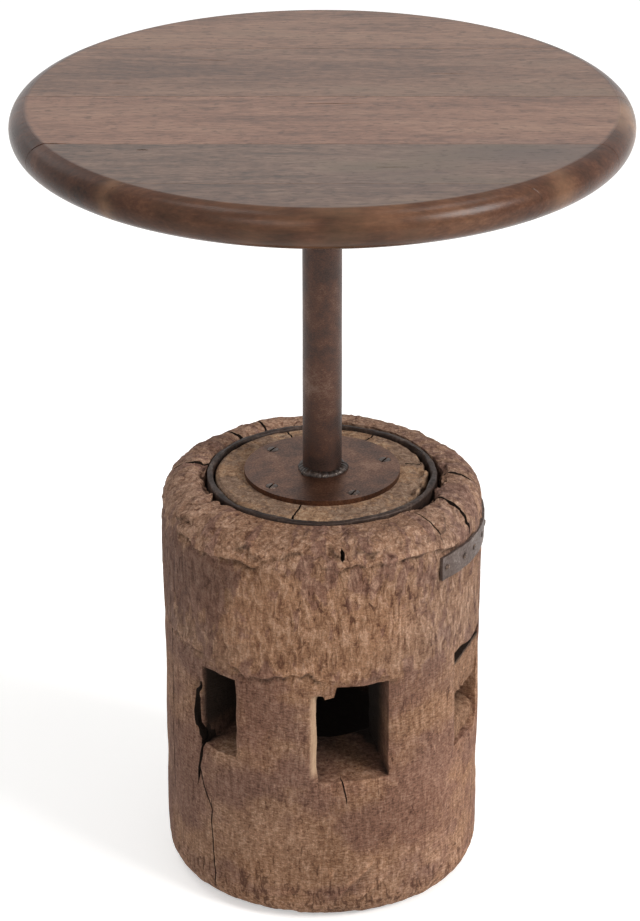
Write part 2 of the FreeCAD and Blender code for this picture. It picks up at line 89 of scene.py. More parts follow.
def smooth(low: float, high: float, value: Array) -> Array:
    """Eases from 0 at low to 1 at high."""
    share = np.clip((value - low) / (high - low), 0.0, 1.0)
    return share * share * (3.0 - 2.0 * share)


def bump(value: Array, middle: float, width: float) -> Array:
    """A soft hill of height 1 round a middle value."""
    return np.exp(-(((value - middle) / width) ** 2))


def hills(value: Array, table: Sequence[tuple[float, float, float]]) -> Array:
    """Sum of soft hills, each given by its height, middle and width."""
    return sum(much * bump(value, middle, width) for much, middle, width in table)


@dataclass(frozen=True)
class Patch:
    """A soft patch of a surface: how much it counts, then middle and width both ways."""

    much: float
    across: Spot
    along: Spot


def patched(patches: Sequence[Patch], across: Array, along: Array) -> Array:
    """Sum of soft patches at places given by two measures."""
    return sum(p.much * bump(across, *p.across) * bump(along, *p.along) for p in patches)


class Grit:
    """Repeatable three-dimensional noise for shaping worn surfaces."""

    def __init__(self, seed: int) -> None:
        """Fills the lattice from a fixed seed."""
        rng = np.random.default_rng(seed)
        self.table = rng.uniform(-1.0, 1.0, LATTICE)
        self.order = rng.permutation(LATTICE)

    def _lattice(self, x: Array, y: Array, z: Array) -> Array:
        """Value at whole-number places."""
        first = self.order[x % LATTICE]
        second = self.order[(first + y) % LATTICE]
        return self.table[self.order[(second + z) % LATTICE]]

    def plain(self, points: Array) -> Array:
        """Smooth noise of one octave.

        Args:
            points: Rows of x, y, z in cells.

        Returns:
            Values between -1 and 1.
        """
        base = np.floor(points).astype(np.int64)
        part = points - base
        ease = part * part * (3.0 - 2.0 * part)
        total = np.zeros(len(points))
        for corner in range(8):
            dx, dy, dz = corner & 1, corner >> 1 & 1, corner >> 2 & 1
            weight = np.where(dx, ease[:, 0], 1 - ease[:, 0])
            weight = weight * np.where(dy, ease[:, 1], 1 - ease[:, 1])
            weight = weight * np.where(dz, ease[:, 2], 1 - ease[:, 2])
            total += weight * self._lattice(base[:, 0] + dx, base[:, 1] + dy, base[:, 2] + dz)
        return total

    def rough(self, points: Array, cell: Sequence[float] | float, octaves: int = 3) -> Array:
        """Noise of several octaves.

        Args:
            points: Rows of x, y, z in millimetres.
            cell: Size of the coarsest cell in millimetres, one number or three.
            octaves: How many octaves are added.

        Returns:
            Values of about -1 to 1.
        """
        scaled = points / np.asarray(cell, float)
        total = np.zeros(len(points))
        weight = 1.0
        for octave in range(octaves):
            total += weight * self.plain(scaled * 2.0**octave + 17.3 * octave)
            weight *= 0.5
        return total / (2.0 - 2.0 * weight)


def place(turn: Array | float, radius: Array | float, height: Array | float) -> Array:
    """Points round the table's axis.

    Args:
        turn: Degrees from the front toward the right.
        radius: Distance from the axis in millimetres.
        height: Height in millimetres.

    Returns:
        Rows of x, y, z in millimetres.
    """
    turn, radius, height = np.broadcast_arrays(np.radians(turn), radius, height)
    return np.stack([radius * np.sin(turn), -radius * np.cos(turn), height], axis=-1)


def polar(points: Array) -> tuple[Array, Array, Array]:
    """Turns in degrees, radii and heights of points in millimetres."""
    x, y, z = points.T
    return np.degrees(np.arctan2(x, -y)), np.hypot(x, y), z


def grid(columns: Array, rows: Array) -> tuple[Array, Array]:
    """Both values of every point of a grid, row by row."""
    across, up = np.meshgrid(columns, rows)
    return across.ravel(), up.ravel()


def facing(turn: float) -> tuple[Array, Array]:
    """Level directions straight out of the table's axis at a turn, and to the right of that."""
    angle = math.radians(turn)
    return np.array([math.sin(angle), -math.cos(angle)]), np.array([math.cos(angle), math.sin(angle)])


def apart(turn: Array, middle: float) -> Array:
    """Degrees from a middle turn, between -180 and 180."""
    return (turn - middle + 180.0) % 360.0 - 180.0


def mesh_piece(
    name: str, points: Array, faces: Sequence[Sequence[int]], crease: float = 42.0
) -> bpy.types.Object:
    """Makes a piece from points in millimetres.

    Args:
        name: Name of the piece.
        points: Rows of x, y, z in millimetres.
        faces: Corner numbers of each face.
        crease: Edges sharper than this many degrees stay sharp.

    Returns:
        The new object, in the scene, at the origin.
    """
    mesh = bpy.data.meshes.new(name)
    mesh.from_pydata((np.asarray(points) * MM).tolist(), [], [list(face) for face in faces])
    mesh.validate()
    tidy_mesh(mesh, crease)
    piece = bpy.data.objects.new(name, mesh)
    bpy.context.scene.collection.objects.link(piece)
    return piece


def tidy_mesh(mesh: bpy.types.Mesh, crease: float) -> None:
    """Turns every face outward and shades it smooth between creases.

    Args:
        mesh: The mesh to set.
        crease: Edges sharper than this many degrees stay sharp.
    """
    work = bmesh.new()
    work.from_mesh(mesh)
    bmesh.ops.remove_doubles(work, verts=work.verts, dist=1e-6)
    bmesh.ops.recalc_face_normals(work, faces=work.faces)
    work.to_mesh(mesh)
    work.free()
    mesh.shade_smooth()
    mesh.set_sharp_from_angle(angle=math.radians(crease))


def loop_faces(rows: int, columns: int, closed_rows: bool = True) -> list[tuple[int, int, int, int]]:
    """Faces of a grid whose columns close on themselves.

    Args:
        rows: Number of rings of points.
        columns: Points in each ring.
        closed_rows: Whether the last ring joins the first.

    Returns:
        Corner numbers of each face.
    """
    faces = []
    for row in range(rows if closed_rows else rows - 1):
        after = (row + 1) % rows
        for column in range(columns):
            beside = (column + 1) % columns
            near, far = row * columns, after * columns
            faces.append((near + column, near + beside, far + beside, far + column))
    return faces


def slab_faces(rows: int, columns: int) -> list[Sequence[int]]:
    """Faces of a closed slab: two sheets of the same grid, the second behind the first.

    Args:
        rows: Rows of points in each sheet.
        columns: Points in each row.

    Returns:
        Corner numbers of each face.
    """
    half = rows * columns
    faces: list[Sequence[int]] = []
    for row in range(rows - 1):
        for column in range(columns - 1):
            a, b = row * columns + column, (row + 1) * columns + column
            faces.append((a, a + 1, b + 1, b))
            faces.append((half + b, half + b + 1, half + a + 1, half + a))
    border = [*range(columns), *[r * columns + columns - 1 for r in range(1, rows)]]
    border += [(rows - 1) * columns + c for c in range(columns - 2, -1, -1)]
    border += [r * columns for r in range(rows - 2, 0, -1)]
    for a, b in zip(border, border[1:] + border[:1]):
        faces.append((b, a, half + a, half + b))
    return faces


def along(corners: Sequence[Spot], step: float) -> list[Spot]:
    """Points along straight runs, the last corner left out.

    Args:
        corners: Radius and height of each corner in millimetres.
        step: Longest distance between points.

    Returns:
        Radius and height of each point.
    """
    points = []
    for (r0, z0), (r1, z1) in zip(corners, corners[1:]):
        count = max(1, math.ceil(math.hypot(r1 - r0, z1 - z0) / step))
        points += [(r0 + (r1 - r0) * i / count, z0 + (z1 - z0) * i / count) for i in range(count)]
    return points


def arc(centre: Spot, radius: float, start: float, end: float, step: float) -> list[Spot]:
    """Points of an arc in a half section, the last one left out."""
    count = max(2, math.ceil(abs(math.radians(end - start)) * radius / step))
    angles = [math.radians(start + (end - start) * i / count) for i in range(count)]
    return [(centre[0] + radius * math.cos(a), centre[1] + radius * math.sin(a)) for a in angles]


def turned(
    name: str,
    section: Sequence[Spot],
    columns: int,
    shape: Callable[[Array, Array, Array], Array] | None = None,
    crease: float = 42.0,
) -> bpy.types.Object:
    """Turns a closed half section about the table's axis and lets a function wear it.

    Args:
        name: Name of the piece.
        section: Radius and height of each point, counter-clockwise.
        columns: Points round the axis.
        shape: Takes points, outward directions and turns, and returns the worn points.
        crease: Edges sharper than this many degrees stay sharp.

    Returns:
        The new piece.
    """
    half = np.array(section, float)
    tangent = np.roll(half, -1, axis=0) - np.roll(half, 1, axis=0)
    outward = np.stack([tangent[:, 1], -tangent[:, 0]], axis=1)
    outward /= np.maximum(np.linalg.norm(outward, axis=1, keepdims=True), 1e-9)
    turns = np.linspace(-180.0, 180.0, columns, endpoint=False)
    grid_turn = np.tile(turns, len(half))
    radius = np.repeat(half[:, 0], columns)
    height = np.repeat(half[:, 1], columns)
    points = place(grid_turn, radius, height)
    if shape is not None:
        side = place(grid_turn, np.repeat(outward[:, 0], columns), np.repeat(outward[:, 1], columns))
        points = shape(points, side, grid_turn)
    return mesh_piece(name, points, loop_faces(len(half), columns), crease)


def store(piece: bpy.types.Object, name: str, values: Array) -> None:
    """Keeps one number per point under a name that a material reads."""
    layer = piece.data.attributes.new(name, "FLOAT", "POINT")
    layer.data.foreach_set("value", np.asarray(values, np.float32))


def points_of(piece: bpy.types.Object) -> Array:
    """Points of a piece in millimetres."""
    flat = np.empty(len(piece.data.vertices) * 3, np.float32)
    piece.data.vertices.foreach_get("co", flat)
    return flat.reshape(-1, 3).astype(float) / MM


def occlusion_shade(piece: bpy.types.Object, reach: float, rays: int = 14) -> Array:
    """How far each point is hemmed in by the piece itself, which sets painted shade in its creases and
    hollows.

    Args:
        piece: The piece.
        reach: How far a wall still counts, in millimetres.
        rays: Directions that are tried from each point.

    Returns:
        0 for an open point to 1 for a buried one.
    """
    mesh = piece.data
    count = len(mesh.vertices)
    flat = np.empty(count * 3, np.float32)
    mesh.vertices.foreach_get("normal", flat)
    normal = flat.reshape(-1, 3).astype(float)
    start = points_of(piece) * MM + normal * 0.5 * MM
    index = np.arange(rays) + 0.5
    climb, turn = 1.0 - 0.9 * index / rays, index * GOLDEN_ANGLE
    wide = np.sqrt(1.0 - climb**2)
    helper = np.where(np.abs(normal[:, 2:]) < 0.9, (0.0, 0.0, 1.0), (1.0, 0.0, 0.0))
    first = np.cross(normal, helper)
    first /= np.maximum(np.linalg.norm(first, axis=1, keepdims=True), 1e-9)
    second = np.cross(normal, first)
    tree = BVHTree.FromPolygons([v.co for v in mesh.vertices], [p.vertices for p in mesh.polygons])
    shut = np.zeros(count)
    for up, across, angle in zip(climb, wide, turn):
        ways = normal * up + first * (across * math.cos(angle)) + second * (across * math.sin(angle))
        for spot in range(count):
            if tree.ray_cast(start[spot], ways[spot], reach * MM)[0] is not None:
                shut[spot] += 1.0
    return shut / rays


def applied(piece: bpy.types.Object) -> None:
    """Bakes the modifiers of a piece into its mesh."""
    graph = bpy.context.evaluated_depsgraph_get()
    baked = bpy.data.meshes.new_from_object(piece.evaluated_get(graph))
    old = piece.data
    piece.modifiers.clear()
    piece.data = baked
    bpy.data.meshes.remove(old)


def carve(piece: bpy.types.Object, cutters: Sequence[bpy.types.Object]) -> None:
    """Takes the cutters out of a piece and removes them.

    Args:
        piece: The piece that is cut.
        cutters: Closed meshes.
    """
    gang = bpy.data.collections.new(piece.name + "_cutters")
    for cutter in cutters:
        gang.objects.link(cutter)
    cut = piece.modifiers.new("carve", "BOOLEAN")
    cut.operation = "DIFFERENCE"
    cut.operand_type = "COLLECTION"
    cut.collection = gang
    cut.solver = "MANIFOLD"
    applied(piece)
    for cutter in cutters:
        bpy.data.meshes.remove(cutter.data)
    bpy.data.collections.remove(gang)


def finish_piece(piece: bpy.types.Object, finish: bpy.types.Material, node: str) -> None:
    """Dresses a piece, ties it to the table and hides the solid it stands for.

    Args:
        piece: The piece.
        finish: Its material.
        node: The frame's node that the piece replaces.
    """
    piece.data.materials.clear()
    piece.data.materials.append(finish)
    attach(piece, ROOT)
    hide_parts(node)
    LOG.info("%s: %d faces", piece.name, len(piece.data.polygons))


def feed(tree: bpy.types.NodeTree, node: Any, inputs: dict[Any, Any]) -> None:
    """Sets or links a node's inputs.

    Args:
        tree: The node tree.
        node: The node.
        inputs: Input name or number to a value, or to an output socket to link from.
    """
    for key, value in inputs.items():
        if isinstance(value, bpy.types.NodeSocket):
            tree.links.new(value, node.inputs[key])
        else:
            node.inputs[key].default_value = value


def dress_node(name: str, finish: bpy.types.Material) -> None:
    """Gives a solid of the frame its material and leaves its mesh alone."""
    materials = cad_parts[name].data.materials
    materials.clear()
    materials.append(finish)


def add(
    tree: bpy.types.NodeTree,
    kind: str,
    inputs: dict[Any, Any] | None = None,
    out: int | str | None = 0,
    ramp: Sequence[tuple[float, str]] = (),
    **settings: Any,
) -> Any:
    """Adds one node with its settings and links.

    Args:
        tree: The node tree.
        kind: Blender's name for the node, for a shader node without its prefix.
        inputs: Input name or number to a value, or to an output socket to link from.
        out: Name or number of the output that is wanted, or None for all.
        ramp: Stops of a colour ramp, each a place and a hex colour.
        settings: Properties of the node.

    Returns:
        The output.
    """
    node = tree.nodes.new(kind if "Node" in kind else "ShaderNode" + kind)
    for key, value in settings.items():
        setattr(node, key, value)
    if ramp:
        stops = node.color_ramp.elements
        while len(stops) < len(ramp):
            stops.new(1.0)
        for stop, (spot, colour) in zip(stops, ramp):
            stop.position = spot
            stop.color = linear(colour)
    feed(tree, node, inputs or {})
    return node.outputs if out is None else node.outputs[out]


def blank_finish(name: str) -> tuple[bpy.types.Material, bpy.types.NodeTree, Any]:
    """A new material with only its shader.

    Args:
        name: Name of the real material.

    Returns:
        The material, its node tree and its shader node.
    """
    material = bpy.data.materials.new(name)
    material.use_nodes = True
    tree = material.node_tree
    return material, tree, tree.nodes["Principled BSDF"]


def per_metre(size: float) -> float:
    """Noise scale whose cells have a size in millimetres."""
    return 1000.0 / size


@dataclass(frozen=True)
class BoardFinish:
    """Stained hardwood: a rubbed satin top with streaked grain and dark pores, and a dark glossy rim."""

    place: str
    shades: tuple[str, str, str]
    shift: tuple[float, float, float]
    grey: float
    streak_mm: float = 9.0
    fibre_mm: float = 2.2
    patch_mm: float = 60.0
    cloud_mm: float = 38.0
    pore_mm: float = 2.5
    rim_mm: Spot = (215.4, 218.6)

    def make(self) -> bpy.types.Material:
        """Builds the material."""
        material, tree, shader = blank_finish(f"satin_hardwood_{self.place}_board")
        spot = add(tree, "TexCoord", out="Object")
        moved = add(tree, "Mapping", {"Vector": spot, "Location": self.shift})
        lean = add(tree, "TexNoise", {"Vector": moved, "Scale": 4.0, "Detail": 2.0}, out="Color")
        bent = add(tree, "VectorMath", {0: lean, 1: (0.0, 0.03, 0.02)}, operation="MULTIPLY")
        wavy = add(tree, "VectorMath", {0: moved, 1: bent}, operation="ADD")
        long, short, broad, dash = (
            add(tree, "Mapping", {"Vector": wavy, "Scale": (drawn, 1.0, 1.0)})
            for drawn in (0.07, 0.17, 0.25, 0.32)
        )
        streak, fibre, patch, cloud, pore = (
            add(
                tree,
                "TexNoise",
                {"Vector": way, "Scale": per_metre(cell), "Detail": detail, "Roughness": rough},
            )
            for way, cell, detail, rough in (
                (long, self.streak_mm, 7.0, 0.68),
                (short, self.fibre_mm, 3.0, 0.75),
                (broad, self.patch_mm, 4.0, 0.6),
                (spot, self.cloud_mm, 5.0, 0.62),
                (dash, self.pore_mm, 2.0, 0.5),
            )
        )
        mixed = add(tree, "Math", {0: streak, 1: 0.34}, operation="MULTIPLY")
        mixed = add(tree, "Math", {0: fibre, 1: 0.44, 2: mixed}, operation="MULTIPLY_ADD")
        mixed = add(tree, "Math", {0: patch, 1: 0.36, 2: mixed}, operation="MULTIPLY_ADD")
        tone = add(tree, "ValToRGB", {"Fac": mixed}, ramp=list(zip((0.46, 0.57, 0.68), self.shades)))
        worn = add(tree, "MapRange", {0: patch, 1: 0.50, 2: 0.66, 4: self.grey})
        tone = add(tree, "Mix", {0: worn, 6: tone, 7: linear("#5f5042")}, data_type="RGBA", out=2)
        # Old spills left a dark stain that follows the grain.
        stain = add(tree, "Attribute", attribute_name="stain", out="Fac")
        stain = add(tree, "Math", {0: stain, 1: streak}, operation="MULTIPLY")
        stain = add(tree, "Math", {0: stain, 1: 1.5}, operation="MULTIPLY", use_clamp=True)
        tone = add(tree, "Mix", {0: stain, 6: tone, 7: linear("#43393a")}, data_type="RGBA", out=2)
        # Open pores, drawn about four times as wide as in the wood so that they show.
        pore = add(tree, "MapRange", {0: pore, 1: 0.59, 2: 0.66, 4: 0.5})
        tone = add(tree, "Mix", {0: pore, 6: tone, 7: linear("#2b1d16")}, data_type="RGBA", out=2)
        # The rim kept its dark varnish, which the flat top has lost.
        flat = add(tree, "VectorMath", {0: spot, 1: (1.0, 1.0, 0.0)}, operation="MULTIPLY")
        reach = add(tree, "VectorMath", {0: flat}, operation="LENGTH", out="Value")
        low, high = (edge * MM for edge in self.rim_mm)
        rim = add(tree, "MapRange", {0: reach, 1: low, 2: high})
        shade = add(tree, "Math", {0: cloud, 1: 0.38}, operation="MULTIPLY")
        shade = add(tree, "Math", {0: mixed, 1: 0.60, 2: shade}, operation="MULTIPLY_ADD")
        varnish = add(
            tree,
            "ValToRGB",
            {"Fac": shade},
            ramp=((0.42, "#27170f"), (0.55, "#462a1d"), (0.68, "#654330")),
        )
        rubbed = add(tree, "Attribute", attribute_name="rubbed", out="Fac")
        varnish = add(tree, "Mix", {0: rubbed, 6: varnish, 7: linear("#a27c5e")}, data_type="RGBA", out=2)
        tone = add(tree, "Mix", {0: rim, 6: tone, 7: varnish}, data_type="RGBA", out=2)
        gloss = add(tree, "MapRange", {0: mixed, 1: 0.4, 2: 0.75, 3: 0.40, 4: 0.50})
        gloss = add(tree, "Mix", {0: rim, 2: gloss, 3: 0.26})
        lift = add(tree, "Math", {0: fibre, 1: 0.6, 2: streak}, operation="MULTIPLY_ADD")
        relief = add(tree, "Bump", {"Height": lift, "Strength": 0.14, "Distance": 0.0012})
        sheen = add(tree, "MapRange", {0: rim, 3: 0.36, 4: 0.17})
        dressed = {"Base Color": tone, "Roughness": gloss, "Normal": relief, "Specular IOR Level": sheen}
        feed(tree, shader, dressed)
        return material


@dataclass(frozen=True)
class IronFinish:
    """Wrought iron that rusted and was oiled: brown scale, darker pits, a dull metal sheen."""

    name: str
    shades: tuple[str, str, str, str]
    metallic: float = 0.45
    rough: Spot = (0.42, 0.62)
    pit_mm: float = 2.2
    cloud_mm: float = 28.0
    drawn: float = 1.0
    relief: float = 0.25

    def make(self) -> bpy.types.Material:
        """Builds the material."""
        material, tree, shader = blank_finish(self.name)
        spot = add(tree, "TexCoord", out="Object")
        lined = add(tree, "Mapping", {"Vector": spot, "Scale": (1.0, 1.0, self.drawn)})
        cloud, pit = (
            add(
                tree,
                "TexNoise",
                {"Vector": way, "Scale": per_metre(cell), "Detail": detail, "Roughness": rough},
            )
            for way, cell, detail, rough in (
                (spot, self.cloud_mm, 6.0, 0.66),
                (lined, self.pit_mm, 4.0, 0.65),
            )
        )
        mixed = add(tree, "Math", {0: pit, 1: 0.45}, operation="MULTIPLY")
        mixed = add(tree, "Math", {0: cloud, 1: 0.65, 2: mixed}, operation="MULTIPLY_ADD")
        tone = add(tree, "ValToRGB", {"Fac": mixed}, ramp=list(zip((0.38, 0.50, 0.60, 0.72), self.shades)))
        bright, dull = self.rough
        gloss = add(tree, "MapRange", {0: pit, 1: 0.3, 2: 0.7, 3: dull, 4: bright})
        relief = add(tree, "Bump", {"Height": mixed, "Strength": self.relief, "Distance": 0.0015})
        dressed = {"Base Color": tone, "Roughness": gloss, "Normal": relief, "Metallic": self.metallic}
        feed(tree, shader, dressed)
        return material


@dataclass(frozen=True)
class WeatheredWood:
    """Bare wood left outdoors: tan where it flaked, purple-brown where its skin stays, fibrous and matt."""

    name: str
    tan: tuple[str, str, str]
    skin: tuple[str, str, str]
    relief: float = 0.7
    fibre_mm: float = 3.0
    drip_mm: float = 9.0
    patch_mm: float = 50.0
    tick_mm: float = 1.5
    flake_mm: float = 5.0
    grit_mm: float = 1.3
    # Heights in millimetres of the damp foot, the old turning line and the crown.
    damp_mm: Spot = (60.0, 22.0)
    line_mm: Spot = (200.0, 226.0)
    crown_mm: Spot = (285.0, 315.0)

    def make(self) -> bpy.types.Material:
        """Builds the material."""
        material, tree, shader = blank_finish(self.name)
        spot = add(tree, "TexCoord", out="Object")
        upright, running, level = (
            add(tree, "Mapping", {"Vector": spot, "Scale": stretch})
            for stretch in ((1.0, 1.0, 0.18), (1.0, 1.0, 0.42), (0.36, 0.36, 1.0))
        )
        kept, fleck, bleach, dust, fresh, hollow, cut = (
            add(tree, "Attribute", attribute_name=name, out="Fac")
            for name in ("skin", "fleck", "bleach", "dust", "fresh", "hollow", "cut")
        )
        fibre, drip, tick, flake, patch, grit = (
            add(
                tree,
                "TexNoise",
                {
                    "Vector": way,
                    "Scale": per_metre(cell),
                    "Detail": detail,
                    "Roughness": rough,
                    "Distortion": bent,
                },
            )
            for way, cell, detail, rough, bent in (
                (upright, self.fibre_mm, 5.0, 0.66, 0.7),
                (running, self.drip_mm, 6.0, 0.62, 1.1),
                (level, self.tick_mm, 3.0, 0.7, 0.0),
                (running, self.flake_mm, 5.0, 0.62, 0.9),
                (spot, self.patch_mm, 4.0, 0.55, 0.5),
                (spot, self.grit_mm, 2.0, 0.6, 0.0),
            )
        )
        # Below the old turning line the wood is fine and ticked, above it drips and flakes.
        height = add(tree, "SeparateXYZ", {0: spot}, out=2)
        foot, above, crown = (
            add(tree, "MapRange", {0: height, 1: start * MM, 2: end * MM})
            for start, end in (self.damp_mm, self.line_mm, self.crown_mm)
        )
        fine = add(tree, "Mix", {0: 0.44, 2: tick, 3: fibre})
        fine = add(tree, "Mix", {0: 0.22, 2: fine, 3: flake})
        coarse = add(tree, "Mix", {0: 0.62, 2: fibre, 3: flake})
        coarse = add(tree, "Mix", {0: 0.22, 2: coarse, 3: tick})
        mixed = add(tree, "Mix", {0: above, 2: fine, 3: coarse})
        tan, skin = (
            add(tree, "ValToRGB", {"Fac": mixed}, ramp=list(zip((0.38, 0.50, 0.62), shades)))
            for shades in (self.tan, self.skin)
        )
        # The stored skin gives the large patches, the drips fray their edges.
        upper = add(tree, "MapRange", {0: above, 3: 0.15})
        frayed = add(tree, "Math", {0: patch, 1: 0.5, 2: drip}, operation="MULTIPLY_ADD")
        frayed = add(tree, "Math", {0: frayed, 1: 0.75}, operation="SUBTRACT")
        frayed = add(tree, "Math", {0: frayed, 1: upper, 2: 0.75}, operation="MULTIPLY_ADD")
        frayed = add(tree, "Math", {0: kept, 1: 0.26, 2: frayed}, operation="MULTIPLY_ADD")
        cover = add(tree, "MapRange", {0: frayed, 1: 0.83, 2: 0.95, 4: 0.9})
        tone = add(tree, "Mix", {0: cover, 6: tan, 7: skin}, data_type="RGBA", out=2)
        wet = add(tree, "MapRange", {0: foot, 4: 0.10})
        dry = add(tree, "MapRange", {0: above, 3: 0.06, 4: 0.0})
        pit = add(tree, "Math", {0: flake, 1: wet}, operation="SUBTRACT")
        pit = add(tree, "Math", {0: pit, 1: dry}, operation="ADD")
        # The stored flecks say where the flaked surface is pitted and where it is worn smooth.
        pit = add(tree, "MapRange", {0: pit, 1: 0.425, 2: 0.385, 4: 0.62})
        chip = add(tree, "Math", {0: flake, 1: dry}, operation="SUBTRACT")
        chip = add(tree, "MapRange", {0: chip, 1: 0.575, 2: 0.615, 4: 0.42})
        for mark, colour in ((pit, "#4a2b1e"), (chip, self.tan[2])):
            mark = add(tree, "Math", {0: mark, 1: fleck}, operation="MULTIPLY")
            tone = add(tree, "Mix", {0: mark, 6: tone, 7: linear(colour)}, data_type="RGBA", out=2)
        grain = add(tree, "MapRange", {0: grit, 1: 0.30, 2: 0.70, 3: 0.72, 4: 1.27})
        # Bleached wood and painted light: the stored values lighten the crown and the lower right side, where
        # the light falls.
        bleach = add(tree, "Math", {0: bleach, 1: 1.0}, operation="ADD")
        for light in (grain, bleach):
            tone = add(tree, "VectorMath", {0: tone, "Scale": light}, operation="SCALE")
        dust = add(tree, "MapRange", {0: dust, 3: 1.0, 4: 0.82})
        tone = add(tree, "HueSaturation", {"Saturation": dust, "Color": tone})
        chips = {0: fibre, 6: linear("#8d6c52"), 7: linear("#d0b294")}
        pale = add(tree, "Mix", chips, data_type="RGBA", out=2)
        tone = add(tree, "Mix", {0: fresh, 6: tone, 7: pale}, data_type="RGBA", out=2)
        # Painted shade: the stored hollows and the faces of the splits go nearly black.
        hollow = add(tree, "Math", {0: hollow, 1: 0.97}, operation="MULTIPLY")
        hollow = add(tree, "Math", {0: hollow, 1: cut}, operation="MAXIMUM")
        tone = add(tree, "Mix", {0: hollow, 6: tone, 7: linear("#20160f")}, data_type="RGBA", out=2)
        lift = add(tree, "Math", {0: mixed, 1: 2.4}, operation="MULTIPLY")
        coarser = add(tree, "MapRange", {0: crown, 4: 0.3})
        lift = add(tree, "Math", {0: flake, 1: coarser, 2: lift}, operation="MULTIPLY_ADD")
        lift = add(tree, "Math", {0: cover, 1: -0.22, 2: lift}, operation="MULTIPLY_ADD")
        calm = add(tree, "MapRange", {0: above, 3: 0.6 * self.relief, 4: self.relief})
        relief = add(tree, "Bump", {"Height": lift, "Strength": calm, "Distance": 0.0035})
        dressed = {"Base Color": tone, "Normal": relief, "Roughness": 0.85, "Specular IOR Level": 0.2}
        feed(tree, shader, dressed)
        return material


